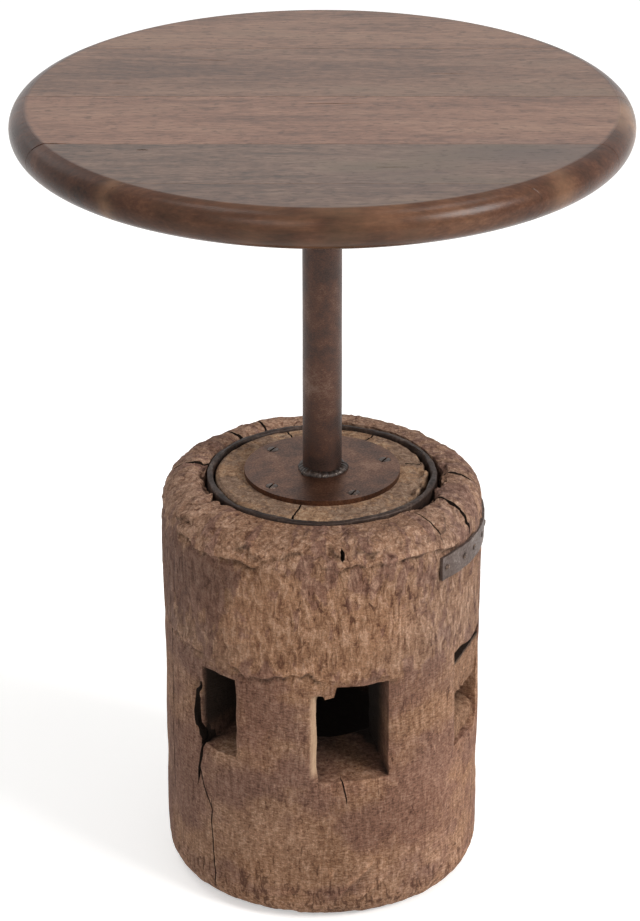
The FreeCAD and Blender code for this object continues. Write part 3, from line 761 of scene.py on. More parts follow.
@dataclass
class Tabletop:
    """Five glued boards cut to a disc with a bull-nosed rim."""

    radius: float = 230.0
    top: float = 632.0
    thickness: float = 30.0
    nose: float = 12.5
    joints: tuple[float, ...] = (-172.0, -92.0, 10.0, 122.0)
    seam: float = 0.4
    # Drying checks: place along and across the grain, length, width and depth.
    checks: tuple[tuple[float, float, float, float, float], ...] = (
        (-194.0, -91.6, 34.0, 1.5, 5.0),
        (8.0, -5.5, 46.0, 0.9, 2.2),
        (-127.0, -105.0, 9.0, 1.7, 2.5),
        (48.0, -139.0, 24.0, 0.9, 2.0),
        (-84.0, 93.8, 26.0, 0.9, 2.0),
        (-150.0, 40.0, 14.0, 0.8, 2.0),
        (95.0, 62.0, 30.0, 0.7, 1.8),
    )
    # Where the rim is rubbed pale: how much, at which turn and how wide.
    rubbed: tuple[tuple[float, float, float], ...] = (
        (0.65, 84.0, 8.0),
        (0.36, -41.0, 1.8),
        (0.25, 47.0, 3.0),
        (0.18, 5.0, 35.0),
    )
    # Spills on the face, by x and y.
    stains: tuple[Patch, ...] = (
        Patch(0.75, (150.0, 70.0), (-112.0, 22.0)),
        Patch(0.35, (60.0, 60.0), (-160.0, 20.0)),
    )
    # Stained hardwood from five planks: the front ones greyer, the middle one redder, all rubbed to satin.
    finishes: tuple[BoardFinish, ...] = (
        BoardFinish("front", ("#3b2d25", "#5e493e", "#786255"), (0.31, 0.05, 0.0), 0.55),
        BoardFinish("second", ("#3f3128", "#665044", "#7e695b"), (1.70, 0.31, 0.1), 0.9),
        BoardFinish("middle", ("#4d3529", "#765646", "#8e6e5c"), (2.90, 0.77, 0.2), 0.20),
        BoardFinish("fourth", ("#483328", "#6e5344", "#866a5a"), (4.43, 1.13, 0.3), 0.50),
        BoardFinish("rear", ("#4d3629", "#755848", "#8c6e5c"), (5.27, 1.71, 0.4), 0.35),
    )

    def disc(self) -> bpy.types.Object:
        """The whole bull-nosed disc before it is parted into boards."""
        flat = self.radius - self.nose
        under = self.top - self.thickness
        bend = self.nose / 2 + self.thickness**2 / (8 * self.nose)
        centre = (self.radius - bend, self.top - self.thickness / 2)
        reach = math.degrees(math.asin(self.thickness / 2 / bend))
        section = along([(0.0, under), (flat - 1.0, under), (flat, under)], 24.0)
        section += arc(centre, bend, -reach, reach, 1.6)
        section += along([(flat, self.top), (flat - 1.0, self.top), (0.0, self.top)], 24.0)
        section.append((0.0, self.top))
        disc = turned("tabletop_disc", section, 360)
        points = points_of(disc)
        turn = polar(points)[0]
        ragged = 0.65 + 0.7 * Grit(3).rough(points, (16.0, 16.0, 8.0), 3)
        store(disc, "rubbed", np.clip(hills(turn, self.rubbed) * ragged, 0.0, 1.0))
        store(disc, "stain", patched(self.stains, points[:, 0], points[:, 1]))
        carve(disc, [self.check_form(*check) for check in self.checks])
        return disc

    def check_form(self, x: float, y: float, length: float, width: float, depth: float) -> bpy.types.Object:
        """The air of one drying check in the upper face.

        Args:
            x: Middle of the check along the grain.
            y: Its place across the grain.
            length: Its length.
            width: Its widest opening.
            depth: How deep it goes.

        Returns:
            A closed mesh to take out of the disc.
        """
        count = 14
        share = np.linspace(0.0, 1.0, count)
        spots = np.c_[x + share * length, np.full(count, y), np.zeros(count)]
        stray = 0.9 * width * Grit(29).rough(spots, length / 4, 2)
        swell = width / 2 * np.sin(np.pi * share) ** 0.6 + 0.03
        side = x + (share - 0.5) * length
        outline = np.concatenate([np.c_[side, y + stray - swell], np.c_[side, y + stray + swell][::-1]])
        corners = 2 * count
        low = np.c_[outline, np.full(corners, self.top - depth)]
        high = np.c_[outline, np.full(corners, self.top + 2.0)]
        faces: list[Sequence[int]] = [list(range(corners))[::-1], [corners + i for i in range(corners)]]
        faces += loop_faces(2, corners, closed_rows=False)
        return mesh_piece("check_air", np.concatenate([low, high]), faces)

    def build(self) -> None:
        """Parts the disc along its joints and dresses each board."""
        edges = (-self.radius * 2, *self.joints, self.radius * 2)
        disc = self.disc()
        for index, (near, far) in enumerate(zip(edges, edges[1:])):
            board = disc.copy()
            board.data = disc.data.copy()
            board.name = f"top_board_{index + 1}_planed"
            bpy.context.scene.collection.objects.link(board)
            work = bmesh.new()
            work.from_mesh(board.data)
            for side, spot in ((-1.0, near), (1.0, far)):
                if abs(spot) > self.radius:
                    continue
                everything = [*work.verts, *work.edges, *work.faces]
                cut = bmesh.ops.bisect_plane(
                    work, geom=everything, plane_co=(0, spot * MM, 0), plane_no=(0, side, 0), clear_outer=True
                )
                rim = [part for part in cut["geom_cut"] if isinstance(part, bmesh.types.BMEdge)]
                cap = bmesh.ops.contextual_create(work, geom=rim)["faces"]
                edge = [e for face in cap for e in face.edges]
                bmesh.ops.bevel(
                    work, geom=edge, offset=self.seam * MM, segments=2, affect="EDGES", profile=0.5
                )
            work.to_mesh(board.data)
            work.free()
            tidy_mesh(board.data, 8.0)
            finish_piece(board, self.finishes[index].make(), f"top_board_{index + 1}")
        bpy.data.meshes.remove(disc.data)


@dataclass
class Post:
    """Iron pipe with its welds and plates."""

    diameter: float = 30.0
    foot: float = 335.0
    head: float = 597.0
    wall: float = 3.0
    weld: float = 5.2
    weld_reach: float = 20.0
    weld_overlap: float = 0.4
    weld_sink: float = 0.3
    ripples: float = 12.0
    grit: Grit = field(default_factory=lambda: Grit(5))

    def pipe(self) -> bpy.types.Object:
        """The pipe, drawn a little unevenly."""
        outer, inner = self.diameter / 2, self.diameter / 2 - self.wall
        section = along([(inner, self.foot), (outer, self.foot)], 2.0)
        section += along([(outer, self.foot), (outer, self.head)], 6.0)
        section += along([(outer, self.head), (inner, self.head)], 2.0)
        section += along([(inner, self.head), (inner, self.foot)], 60.0)

        def wear(points: Array, side: Array, turn: Array) -> Array:
            """Faint dents."""
            dent = 0.16 * self.grit.rough(points, (14.0, 14.0, 30.0))
            return points + side * dent[:, None] * (side[:, 2:] == 0)

        return turned("post_pipe", section, 96, wear)

    def bead(self, name: str, level: float, up: float, seed: float) -> bpy.types.Object:
        """A hand-laid weld bead round one end of the pipe.

        Args:
            name: Name of the piece.
            level: Height of the plate's face.
            up: 1 above the plate, -1 below it.
            seed: Place in the noise.

        Returns:
            The bead.
        """
        columns, ribs = 288, 12
        turn = np.linspace(0.0, 360.0, columns, endpoint=False)
        row = np.linspace(0.0, 90.0, ribs)
        grid_turn, grid_row = grid(turn, np.radians(row))
        spots = place(grid_turn, self.weld_reach, seed)
        ripple = np.abs(np.sin(np.radians(grid_turn * self.ripples) + 1.5 * self.grit.rough(spots, 9.0, 2)))
        swell = self.weld * (0.84 + 0.10 * ripple + 0.34 * self.grit.rough(spots, 7.0, 3))
        inner, sunk = self.diameter / 2 - self.weld_overlap, level - up * self.weld_sink
        radius = inner + swell * np.cos(grid_row)
        height = sunk + up * swell * 0.85 * np.sin(grid_row)
        points = np.concatenate([place(turn, inner, sunk), place(grid_turn, radius, height)])
        return mesh_piece(name, points, loop_faces(ribs + 1, columns), 60.0)

    def build(self) -> None:
        """Builds the pipe and both beads, and dresses the plates."""
        # Drawn pipe under oil: near black, brown in clouds, with a soft glint down its side.
        iron = IronFinish(
            "oiled_wrought_iron_pipe",
            ("#20140f", "#3b2922", "#4e3123", "#6b5549"),
            metallic=0.5, rough=(0.36, 0.55), pit_mm=1.3, cloud_mm=26.0, drawn=3.0, relief=0.35,
        ).make()
        finish_piece(self.pipe(), iron, "post")
        # Weld metal left bare: almost black, with pale flecks of scale.
        bead_steel = IronFinish(
            "bare_weld_bead",
            ("#150f0c", "#251b16", "#33261f", "#8a7d71"),
            metallic=0.4, rough=(0.36, 0.55), pit_mm=2.4, cloud_mm=6.0, relief=0.30,
        ).make()
        finish_piece(self.bead("base_weld_bead", self.foot, 1.0, 0.0), bead_steel, "base_weld")
        finish_piece(self.bead("top_weld_bead", self.head, -1.0, 80.0), bead_steel, "top_weld")
        # Rolled plate rubbed with oil: warm brown, with a broad mild glint.
        sheet = IronFinish(
            "oiled_iron_plate",
            ("#35221a", "#53382a", "#6a4733", "#866551"),
            metallic=0.85, rough=(0.36, 0.50), pit_mm=1.4, cloud_mm=26.0, relief=0.05,
        ).make()
        for name in ("base_plate", "top_plate"):
            dress_node(name, sheet)


@dataclass(frozen=True)
class Row:
    """One ring or row of fasteners: where they are, in degrees and millimetres, and how each one sits."""

    name: str
    node: str
    turns: tuple[float, ...]
    radius: float
    level: float
    tip: float
    spin: float
    loose: float
    seed: int = 7


@dataclass
class Fasteners:
    """Slotted screws and strap nails, each kind set out by one node tree."""

    head: float = 9.4
    shank: float = 2.3
    length: float = 24.0
    slot_width: float = 1.4
    slot_depth: float = 1.1
    nail_head: float = 5.0
    nail_shank: float = 1.15
    nail_length: float = 12.0
    base: Row = Row(
        "base_plate_slotted_screws",
        "base_plate_screws",
        (-130.7, -49.6, 28.3, 106.4, 168.0),
        radius=50.5, level=335.0, tip=0.0, spin=2.3, loose=0.02,
    )
    under: Row = Row(
        "top_plate_slotted_screws",
        "top_plate_screws",
        (30.0, 90.0, 150.0, 210.0, 270.0, 330.0),
        radius=64.0, level=597.0, tip=math.pi, spin=1.7, loose=0.02,
    )
    strap: Row = Row(
        "strap_hammered_nails",
        "strap_nails",
        (48.7, 59.5, 67.2, 77.5, 87.0, 97.0, 108.5),
        radius=125.7, level=291.0, tip=math.pi / 2, spin=1.0, loose=0.08,
    )

    def screw(self) -> bpy.types.Object:
        """One slotted countersunk screw, its face at the origin."""
        r, shank, tip = self.head / 2, self.shank, -self.length
        section = [(0.0, tip), (1.0, tip + 4.0), (shank, tip + 6.0), (shank, -9.0), (shank, -2.6)]
        section += [(r * 0.98, -0.15), (r * 0.94, 0.12), (r * 0.55, 0.32), (0.0, 0.36)]
        body = turned("screw_form", section, 40)
        reach, half = r * 1.4, self.slot_width / 2
        corners = [(x, y, z) for z in (-self.slot_depth, 2.0) for y in (-half, half) for x in (-reach, reach)]
        faces = [(0, 2, 3, 1), (4, 5, 7, 6), (0, 1, 5, 4), (2, 6, 7, 3), (0, 4, 6, 2), (1, 3, 7, 5)]
        carve(body, [mesh_piece("slot_form", np.array(corners), faces)])
        tidy_mesh(body.data, 35.0)
        return body

    def nail(self) -> bpy.types.Object:
        """One hammered nail head with a short shank, its underside at the origin."""
        r, shank, tip = self.nail_head / 2, self.nail_shank, -self.nail_length
        section = [(0.0, tip), (shank, tip + 3.0), (shank, 0.0), (r * 0.92, -0.05)]
        section += [(r, 0.3), (r * 0.8, 0.6), (r * 0.4, 0.8), (0.0, 0.85)]
        grit = Grit(23)

        def hammered(points: Array, side: Array, turn: Array) -> Array:
            """Dents in the head."""
            dent = 0.22 * grit.rough(points, 2.4, 2)
            return points + side * dent[:, None] * (points[:, 2:] > 0.2)

        return turned("nail_form", section, 22, hammered)

    def tree(self, form: bpy.types.Object, finish: bpy.types.Material) -> bpy.types.NodeTree:
        """Node tree that sets one form on every point, turned by the point's own angles.

        Args:
            form: The fastener to repeat.
            finish: Its material.

        Returns:
            The tree, with inputs for size, looseness and seed.
        """
        tree = bpy.data.node_groups.new(form.name + "_set_out", "GeometryNodeTree")
        for label, kind, way in (
            ("Geometry", "NodeSocketGeometry", "INPUT"),
            ("Size", "NodeSocketFloat", "INPUT"),
            ("Looseness", "NodeSocketFloat", "INPUT"),
            ("Seed", "NodeSocketInt", "INPUT"),
            ("Geometry", "NodeSocketGeometry", "OUTPUT"),
        ):
            tree.interface.new_socket(label, in_out=way, socket_type=kind)
        given = add(tree, "NodeGroupInput", out=None)
        thing = add(tree, "GeometryNodeObjectInfo", {"Object": form}, out="Geometry")
        aim = add(tree, "GeometryNodeInputNamedAttribute", {"Name": "aim"}, data_type="FLOAT_VECTOR")
        least = add(tree, "Math", {0: given["Looseness"], 1: -1.0}, operation="MULTIPLY")
        wobble = add(
            tree,
            "FunctionNodeRandomValue",
            {2: least, 3: given["Looseness"], "Seed": given["Seed"]},
            data_type="FLOAT",
            out=1,
        )
        tilt = add(tree, "CombineXYZ", {0: wobble, 1: wobble})
        angles = add(tree, "VectorMath", {0: aim, 1: tilt}, operation="ADD")
        turn = add(tree, "FunctionNodeEulerToRotation", {0: angles})
        even = add(tree, "CombineXYZ", {0: given["Size"], 1: given["Size"], 2: given["Size"]})
        spread = add(
            tree,
            "GeometryNodeInstanceOnPoints",
            {"Points": given["Geometry"], "Instance": thing, "Rotation": turn, "Scale": even},
        )
        real = add(tree, "GeometryNodeRealizeInstances", {"Geometry": spread})
        dressed = add(tree, "GeometryNodeSetMaterial", {"Geometry": real, "Material": finish})
        add(tree, "NodeGroupOutput", {"Geometry": dressed}, out=None)
        return tree

    def set_out(self, row: Row, form: bpy.types.Object, finish: bpy.types.Material) -> bpy.types.Object:
        """Repeats a form along a row.

        Args:
            row: Places and angles of the row.
            form: The fastener.
            finish: Its material.

        Returns:
            One piece with every fastener.
        """
        turns = np.array(row.turns)
        aims = np.stack([0 * turns + row.tip, 0 * turns, np.radians(turns * row.spin)], axis=1)
        carrier = bpy.data.objects.new(row.name + "_points", bpy.data.meshes.new(row.name + "_points"))
        carrier.data.from_pydata((place(turns, row.radius, row.level) * MM).tolist(), [], [])
        layer = carrier.data.attributes.new("aim", "FLOAT_VECTOR", "POINT")
        layer.data.foreach_set("vector", np.asarray(aims, np.float32).ravel())
        bpy.context.scene.collection.objects.link(carrier)
        tree = self.tree(form, finish)
        setter = carrier.modifiers.new("set_out", "NODES")
        setter.node_group = tree
        wanted = {"Size": 1.0, "Looseness": row.loose, "Seed": row.seed}
        for item in tree.interface.items_tree:
            if item.in_out == "INPUT" and item.name in wanted:
                setter[item.identifier] = wanted[item.name]
        applied(carrier)
        carrier.name = row.name
        bpy.data.meshes.remove(form.data)
        return carrier

    def build(self) -> None:
        """Sets out both rings of screws and the row of nails."""
        # Turned steel gone dark: the brightest glints on the table, on small heads.
        steel = IronFinish(
            "darkened_screw_steel",
            ("#1d1613", "#3a2d26", "#4a382d", "#8a7a6e"),
            metallic=0.7, rough=(0.28, 0.45), pit_mm=1.4, cloud_mm=5.0, relief=0.15,
        ).make()
        # Hammered iron: dark, with many small dents that catch light.
        iron = IronFinish(
            "hammered_nail_iron",
            ("#1e1612", "#3b2e27", "#5b4536", "#86766a"),
            metallic=0.5, rough=(0.4, 0.6), pit_mm=1.5, cloud_mm=6.0, relief=0.3,
        ).make()
        for row, form, finish, slot in (
            (self.base, self.screw, steel, Slot.SCREW),
            (self.under, self.screw, steel, Slot.SCREW),
            (self.strap, self.nail, iron, Slot.STRAP),
        ):
            finish_piece(self.set_out(row, form(), finish), finish, row.node)


@dataclass(frozen=True)
class Mortise:
    """One spoke mortise: its turn, and its width, foot and head in millimetres."""

    turn: float
    width: float
    sill: float
    head: float
    step: Spot = (0.0, 0.0)


@dataclass(frozen=True)
class Split:
    """One drying split: a blade of air that stands on the hub's axis."""

    turn: float
    low: float
    high: float
    inner: float
    outer: float
    width: float
    wander: float = 1.5
    lean: float = 0.0


@dataclass
class Hub:
    """The old wheel hub with its rings, plug, strap and broken spoke."""

    radius: float = 123.5
    height: float = 333.0
    crown: float = 25.0
    foot: float = 20.5
    seat: float = 89.3
    depth: float = 45.0
    bore_top: float = 39.0
    bore_foot: float = 58.0
    wear: float = 5.0
    ring_outer: float = 89.0
    ring_wall: float = 6.5
    ring_edge: float = 1.8
    columns: int = 384
    grit: Grit = field(default_factory=lambda: Grit(11))
    mortises: tuple[Mortise, ...] = (
        Mortise(11.5, 55.0, 126.5, 208.5, (14.0, 11.0)),
        Mortise(70.0, 55.0, 126.5, 208.5),
        Mortise(131.5, 53.9, 126.5, 208.5),
        Mortise(191.5, 55.0, 128.1, 207.7),
        Mortise(251.5, 55.0, 126.5, 208.5),
        Mortise(319.1, 34.1, 137.2, 205.2),
    )
    splits: tuple[Split, ...] = (
        Split(-101.0, 304.0, 345.0, 84.0, 126.0, 2.4, 3.4, 3.0),
        Split(64.0, 296.0, 345.0, 84.0, 130.0, 3.0, 4.6, -4.0),
        Split(88.0, 312.0, 345.0, 84.0, 126.0, 2.4, 1.6, 2.0),
        Split(-136.0, 312.0, 345.0, 84.0, 128.0, 2.8, 1.6, 1.0),
        Split(-150.5, 316.0, 345.0, 84.0, 126.0, 2.2, 1.4, -1.0),
        Split(7.0, 314.0, 323.0, 104.0, 134.0, 3.6, 1.2, 0.0),
        Split(47.0, 306.0, 345.0, 84.0, 128.0, 1.6, 2.2, -3.0),
        Split(172.0, 308.0, 345.0, 84.0, 128.0, 2.8, 1.6, 1.0),
        Split(-50.4, 134.0, 192.0, 101.0, 134.0, 8.0, 8.0, 2.0),
        Split(-49.6, 98.0, 160.0, 101.0, 134.0, 3.4, 4.0, 6.5),
        Split(-47.6, 82.0, 122.0, 104.0, 134.0, 1.8, 3.0, -13.0),
        Split(-43.8, 2.0, 98.0, 106.0, 134.0, 1.3, 3.4, -4.5),
        Split(-70.0, 60.0, 250.0, 114.0, 134.0, 1.4, 2.0, 1.0),
        Split(118.0, 30.0, 110.0, 112.0, 134.0, 1.6, 2.0, 1.0),
        Split(212.0, 190.0, 330.0, 108.0, 134.0, 2.0, 2.4, 1.0),
        Split(8.0, 106.0, 131.0, 112.0, 134.0, 1.5, 2.2, -4.0),
    )
    # Splits in the plug.
    cracks: tuple[Split, ...] = (
        Split(-16.0, 314.0, 345.0, 58.0, 84.0, 1.8, 1.4, 1.0),
        Split(104.0, 318.0, 345.0, 66.0, 86.0, 1.8, 3.2, 2.0),
        Split(-160.0, 314.0, 345.0, 60.0, 86.0, 1.8, 1.4, 1.0),
        Split(150.0, 314.0, 345.0, 60.0, 86.0, 1.8, 1.4, 1.0),
    )
    # Gouges in the outer face: turn, height, length, rise in radians and depth.
    gouges: tuple[tuple[float, float, float, float, float], ...] = (
        (13.0, 36.0, 44.0, 0.75, 1.3),
        (20.0, 27.0, 36.0, 0.60, 1.0),
        (5.0, 44.0, 14.0, 1.35, 1.5),
        (-14.0, 22.0, 30.0, 0.15, 0.9),
        (-31.0, 236.0, 40.0, 0.35, 0.9),
        (-62.0, 250.0, 34.0, 1.10, 1.0),
        (36.0, 60.0, 26.0, -0.40, 0.8),
        (96.0, 70.0, 44.0, 0.50, 1.1),
        (160.0, 40.0, 50.0, -0.60, 1.1),
        (222.0, 90.0, 36.0, 0.80, 1.0),
    )
    # Flaked ledges: height, first and last turn, and place in the noise.
    ledges: tuple[tuple[float, float, float, float], ...] = (
        (309.0, -60.0, 72.0, 0.0),
        (317.0, -34.0, 40.0, 200.0),
        (323.0, -70.0, 60.0, 400.0),
        (217.0, -80.0, 24.0, 600.0),
    )
    # Where the wood stands off the ring, and where its edge has sunk: how far, at which turn and how wide.
    gaps: tuple[tuple[float, float, float], ...] = (
        (5.0, 86.0, 26.0),
        (4.6, -60.0, 9.0),
        (2.4, -98.0, 20.0),
        (1.6, 170.0, 40.0),
    )
    sunk: tuple[tuple[float, float, float], ...] = (
        (5.5, -92.0, 30.0),
        (7.5, 72.0, 26.0),
        (3.0, -150.0, 16.0),
    )
    # Where more of the old skin stands or less, and where the wood is lighter or darker, by turn and height.
    skinned: tuple[Patch, ...] = (
        Patch(0.55, (-52.0, 17.0), (276.0, 22.0)),
        Patch(-0.28, (-15.0, 40.0), (250.0, 32.0)),
        Patch(-0.80, (-16.0, 22.0), (66.0, 26.0)),
    )
    lighter: tuple[Patch, ...] = (
        Patch(-0.10, (-53.0, 15.0), (278.0, 18.0)),
        Patch(0.07, (-16.0, 20.0), (66.0, 26.0)),
        Patch(-0.12, (14.0, 12.0), (100.0, 14.0)),
        Patch(-0.08, (2.0, 22.0), (50.0, 40.0)),
        Patch(-0.10, (-62.0, 14.0), (100.0, 40.0)),
        Patch(0.08, (-30.0, 12.0), (262.0, 26.0)),
    )
    plug_radius: float = 82.2
    plug_sink: float = 2.0
    plug_round: float = 3.0
    strap_turns: Spot = (45.9, 111.9)
    strap_levels: Spot = (281.5, 300.5)
    strap_faces: Spot = (123.4, 125.6)
    stub_height: float = 73.0
    stub_inner: float = 58.5
    stub_reach: float = 61.0
    stub_slack: float = 0.6

    def section(self) -> list[Spot]:
        """Half section of the hub, counter-clockwise from the foot's seat."""
        r, h = self.radius, self.height
        points = along([(self.seat, 0.0), (r - self.foot, 0.0)], 4.0)
        points += arc((r - self.foot, self.foot), self.foot, -90.0, 0.0, 2.4)
        points += along([(r, self.foot), (r, h - self.crown)], 2.2)
        points += arc((r - self.crown, h - self.crown), self.crown, 0.0, 90.0, 2.0)
        points += along([(r - self.crown, h), (self.seat, h)], 1.9)
        points += along([(self.seat, h), (self.seat, h - self.depth)], 5.0)
        points += along([(self.seat, h - self.depth), (self.bore_top, h - self.depth)], 12.0)
        points += along([(self.bore_top, h - self.depth), (self.bore_foot, self.depth)], 12.0)
        points += along([(self.bore_foot, self.depth), (self.seat, self.depth)], 10.0)
        points += along([(self.seat, self.depth), (self.seat, 0.0)], 9.0)
        return points

    def skin(self, turn: Array, z: Array) -> Array:
        """Where the old dark skin of the wood still stands, 1, and where it has flaked off, 0.

        Args:
            turn: Turns in degrees.
            z: Heights in millimetres.

        Returns:
            Values from 0 to 1 with short steps between.
        """
        spots = place(turn, self.radius, z)
        low = smooth(222.0, 206.0, z + 8.0 * self.grit.rough(spots, 30.0, 2))
        upper = self.grit.rough(spots + 71.0, (6.5, 6.5, 18.0), 4)
        lower = 0.22 + 0.35 * self.grit.rough(spots + 23.0, (24.0, 24.0, 16.0), 4)
        share = (1.0 - low) * upper + low * lower + 0.35 * self.grit.rough(spots + 9.0, (50.0, 50.0, 45.0), 2)
        share += patched(self.skinned, turn, z) + 0.16 * bump(z, 290.0, 16.0) * smooth(-30.0, 0.0, turn)
        share -= 0.12 + 0.08 * smooth(298.0, 314.0, z) + 0.5 * bump(z, 4.0, 14.0)
        layer, facet = self.shoulder(turn, z)
        share += 0.30 * layer - 0.45 * facet
        return smooth(0.0, 1.0, 0.5 + share / (0.26 + 0.50 * low))

    def shoulder(self, turn: Array, z: Array) -> tuple[Array, Array]:
        """The left shoulder, where a dark outer layer ends in a slanting edge before a smooth worn facet.

        Args:
            turn: Turns in degrees.
            z: Heights in millimetres.

        Returns:
            The layer and the facet, each from 0 to 1.
        """
        ragged = 3.0 * self.grit.rough(place(turn, self.radius, z) + 130.0, 16.0, 3)
        past = turn + 45.2 - 0.191 * (z - 209.5) - ragged
        layer = smooth(1.2, -1.2, past) * smooth(-104.0, -86.0, turn)
        facet = smooth(-1.2, 1.2, past) * smooth(26.0, 8.0, past)
        band = smooth(214.0, 236.0, z) * smooth(307.0, 297.0, z)
        return layer * band, facet * band

    def lowered(self, points: Array) -> Array:
        """How far the crown is worn down, most at the front, in millimetres."""
        return self.wear * (0.5 - points[:, 1] / (2 * self.radius))

    def lips(self, turn: Array) -> list[tuple[Array, Array]]:
        """The ragged ledges at the front where the wood has flaked off in layers.

        Args:
            turn: Turns in degrees.

        Returns:
            The height of each ledge and how much of it stands.
        """
        ledges = []
        for level, start, end, shift in self.ledges:
            spots = place(turn, self.radius, 0.0 * turn + shift)
            stands = smooth(start - 12.0, start + 6.0, turn) * smooth(end + 12.0, end - 6.0, turn)
            stands *= smooth(-0.25, 0.1, self.grit.rough(spots + 60.0, 22.0, 2))
            ledges.append((level + 10.0 * self.grit.rough(spots, 14.0, 3), stands))
        return ledges

    def scratches(self, turn: Array, z: Array) -> tuple[Array, Array]:
        """The gouges in the outer face.

        Args:
            turn: Turns in degrees.
            z: Heights in millimetres.

        Returns:
            Depth of the gouges in millimetres, and of the burr above each.
        """
        hollow, burr = 0.0 * z, 0.0 * z
        stray = 1.2 * self.grit.rough(place(turn, self.radius, z) + 77.0, 12.0, 1)
        for middle, level, length, rise, depth in self.gouges:
            beside = self.radius * np.radians(turn - middle)
            run = beside * math.cos(rise) + (z - level) * math.sin(rise)
            off = (z - level) * math.cos(rise) - beside * math.sin(rise) + stray
            ends = depth * smooth(length / 2, length / 2 - 6.0, np.abs(run))
            hollow += ends * bump(off, 0.0, 2.2)
            burr += ends * bump(off, 3.4, 1.8)
        return hollow, burr

    def worn(self, points: Array, side: Array, turn: Array) -> Array:
        """Weathers the turned form.

        Args:
            points: Points in millimetres.
            side: Outward direction of each point.
            turn: Turn of each point in degrees.

        Returns:
            The worn points.
        """
        grit = self.grit
        _, radius, z = polar(points)
        outside = smooth(self.seat + 0.2, self.seat + 2.5, radius)
        top = smooth(self.height - 46.0, self.height - 16.0, z)
        lump = grit.rough(points, 48.0, 2)
        fibre = 0.28 * grit.rough(points, (5.0, 5.0, 60.0), 2)
        fibre += 0.16 * grit.rough(points, (2.6, 2.6, 22.0), 1)
        flaking = smooth(self.height - 60.0, self.height - 30.0, z)
        scales = np.abs(grit.rough(points + 13.0, (9.0, 9.0, 12.0), 3))
        rough = flaking * (0.5 * grit.rough(points, (6.0, 6.0, 7.0), 3) - 0.8 * scales + 0.2)
        foot = smooth(30.0, 6.0, z) * 0.9 * grit.rough(points, (8.0, 8.0, 12.0), 3)
        drip = 0.8 * np.abs(grit.rough(points + 5.0, (6.5, 6.5, 24.0), 2)) * smooth(205.0, 230.0, z)
        ledge = 0.9 * flaking * smooth(0.0, 0.10, grit.rough(points + 43.0, (24.0, 24.0, 13.0), 3))
        layer, facet = self.shoulder(turn, z)
        # The outer face: lumps, fibres, flakes, drips, the old skin, ledges, the turning line and gouges.
        push = lump + fibre + rough + foot - drip * (1.0 - 0.7 * facet) + ledge
        push += 0.8 * self.skin(turn, z) + 0.9 * layer - 0.8
        for lip, front in self.lips(turn):
            shelf = smooth(lip - 1.0, lip + 1.0, z) * smooth(lip + 12.0, lip + 2.5, z)
            push += 2.0 * front * (shelf - 0.8 * bump(z, lip - 2.6, 2.2))
        line = bump(z, 213.0 + 0.03 * turn, 1.6)
        push -= 0.7 * line * smooth(-95.0, -60.0, turn) * smooth(20.0, -5.0, turn)
        hollow, burr = self.scratches(turn, z)
        push += 0.4 * burr - hollow
        # The chipped rim of every mortise.
        chip = np.clip(0.6 + 0.9 * grit.rough(points + 31.0, 12.0, 2), 0.1, 2.0)
        for mortise in self.mortises:
            away = apart(turn, mortise.turn)
            across = self.radius * np.radians(away)
            middle, half = (mortise.sill + mortise.head) / 2, (mortise.head - mortise.sill) / 2
            out = np.maximum(np.abs(across) - mortise.width / 2, np.abs(z - middle) - half)
            push -= 2.2 * chip * bump(np.maximum(out, 0.0), 0.0, 3.0) * (np.abs(away) < 60)
        # The broken jamb of the front mortise and the torn one of the left.
        front = self.mortises[FRONT]
        edge = -front.width / 2
        across = self.radius * np.radians(turn - front.turn)
        ragged = 1.8 * grit.rough(points + 7.0, (4.0, 4.0, 9.0), 2)
        jamb = smooth(edge - 8.0, edge - 0.5, across + ragged) * (across < edge + 3.0)
        push -= 8.0 * jamb * smooth(128.0, 137.0, z) * smooth(201.0, 197.0, z)
        left = self.mortises[LEFT]
        edge = -left.width / 2
        across = self.radius * np.radians(apart(turn, left.turn))
        torn = smooth(edge - 15.0, edge - 3.0, across) * smooth(0.0, edge, across)
        torn *= smooth(128.0, 142.0, z) * smooth(206.0, 180.0, z)
        push -= 8.0 * torn * np.abs(grit.rough(points, (3.2, 3.2, 24.0), 2))
        # The gaps beside the ring, the crown's sunken edge and slope, and the steps at its two wide splits.
        ragged = 0.75 + 1.3 * grit.rough(points + 3.0, (6.0, 6.0, 14.0), 3)
        deep, past = z - self.height, radius - self.seat
        widen = hills(turn, self.gaps) * np.clip(ragged, 0.1, 1.6)
        widen *= smooth(-28.0, -14.0, deep) * smooth(9.0, 0.0, past)
        eaten = hills(turn, self.sunk) * np.clip(ragged, 0.15, 1.6)
        eaten *= smooth(-6.0, -1.0, deep) * bump(np.maximum(past, 0.0), 0.0, 5.0)
        slope = self.lowered(points) * smooth(-30.0, 0.0, deep)
        step = 0.6 * smooth(-140.0, -112.0, turn) * (turn < -100.0)
        step -= 0.8 * smooth(-100.5, -99.5, turn) * smooth(-58.0, -86.0, turn)
        step += 1.5 * smooth(63.0, 64.0, turn) * smooth(110.0, 85.0, turn)
        step -= 0.8 * smooth(40.0, 63.0, turn) * (turn < 63.0)
        moved = points + side * (push * outside)[:, None] + place(turn, widen, 0.0 * z)
        moved[:, 2] += (step * top - slope - eaten) * (radius > self.seat - 0.5)
        moved[:, 2] = np.where(z <= 0.001, 0.0, np.maximum(moved[:, 2], 0.0))
        return moved

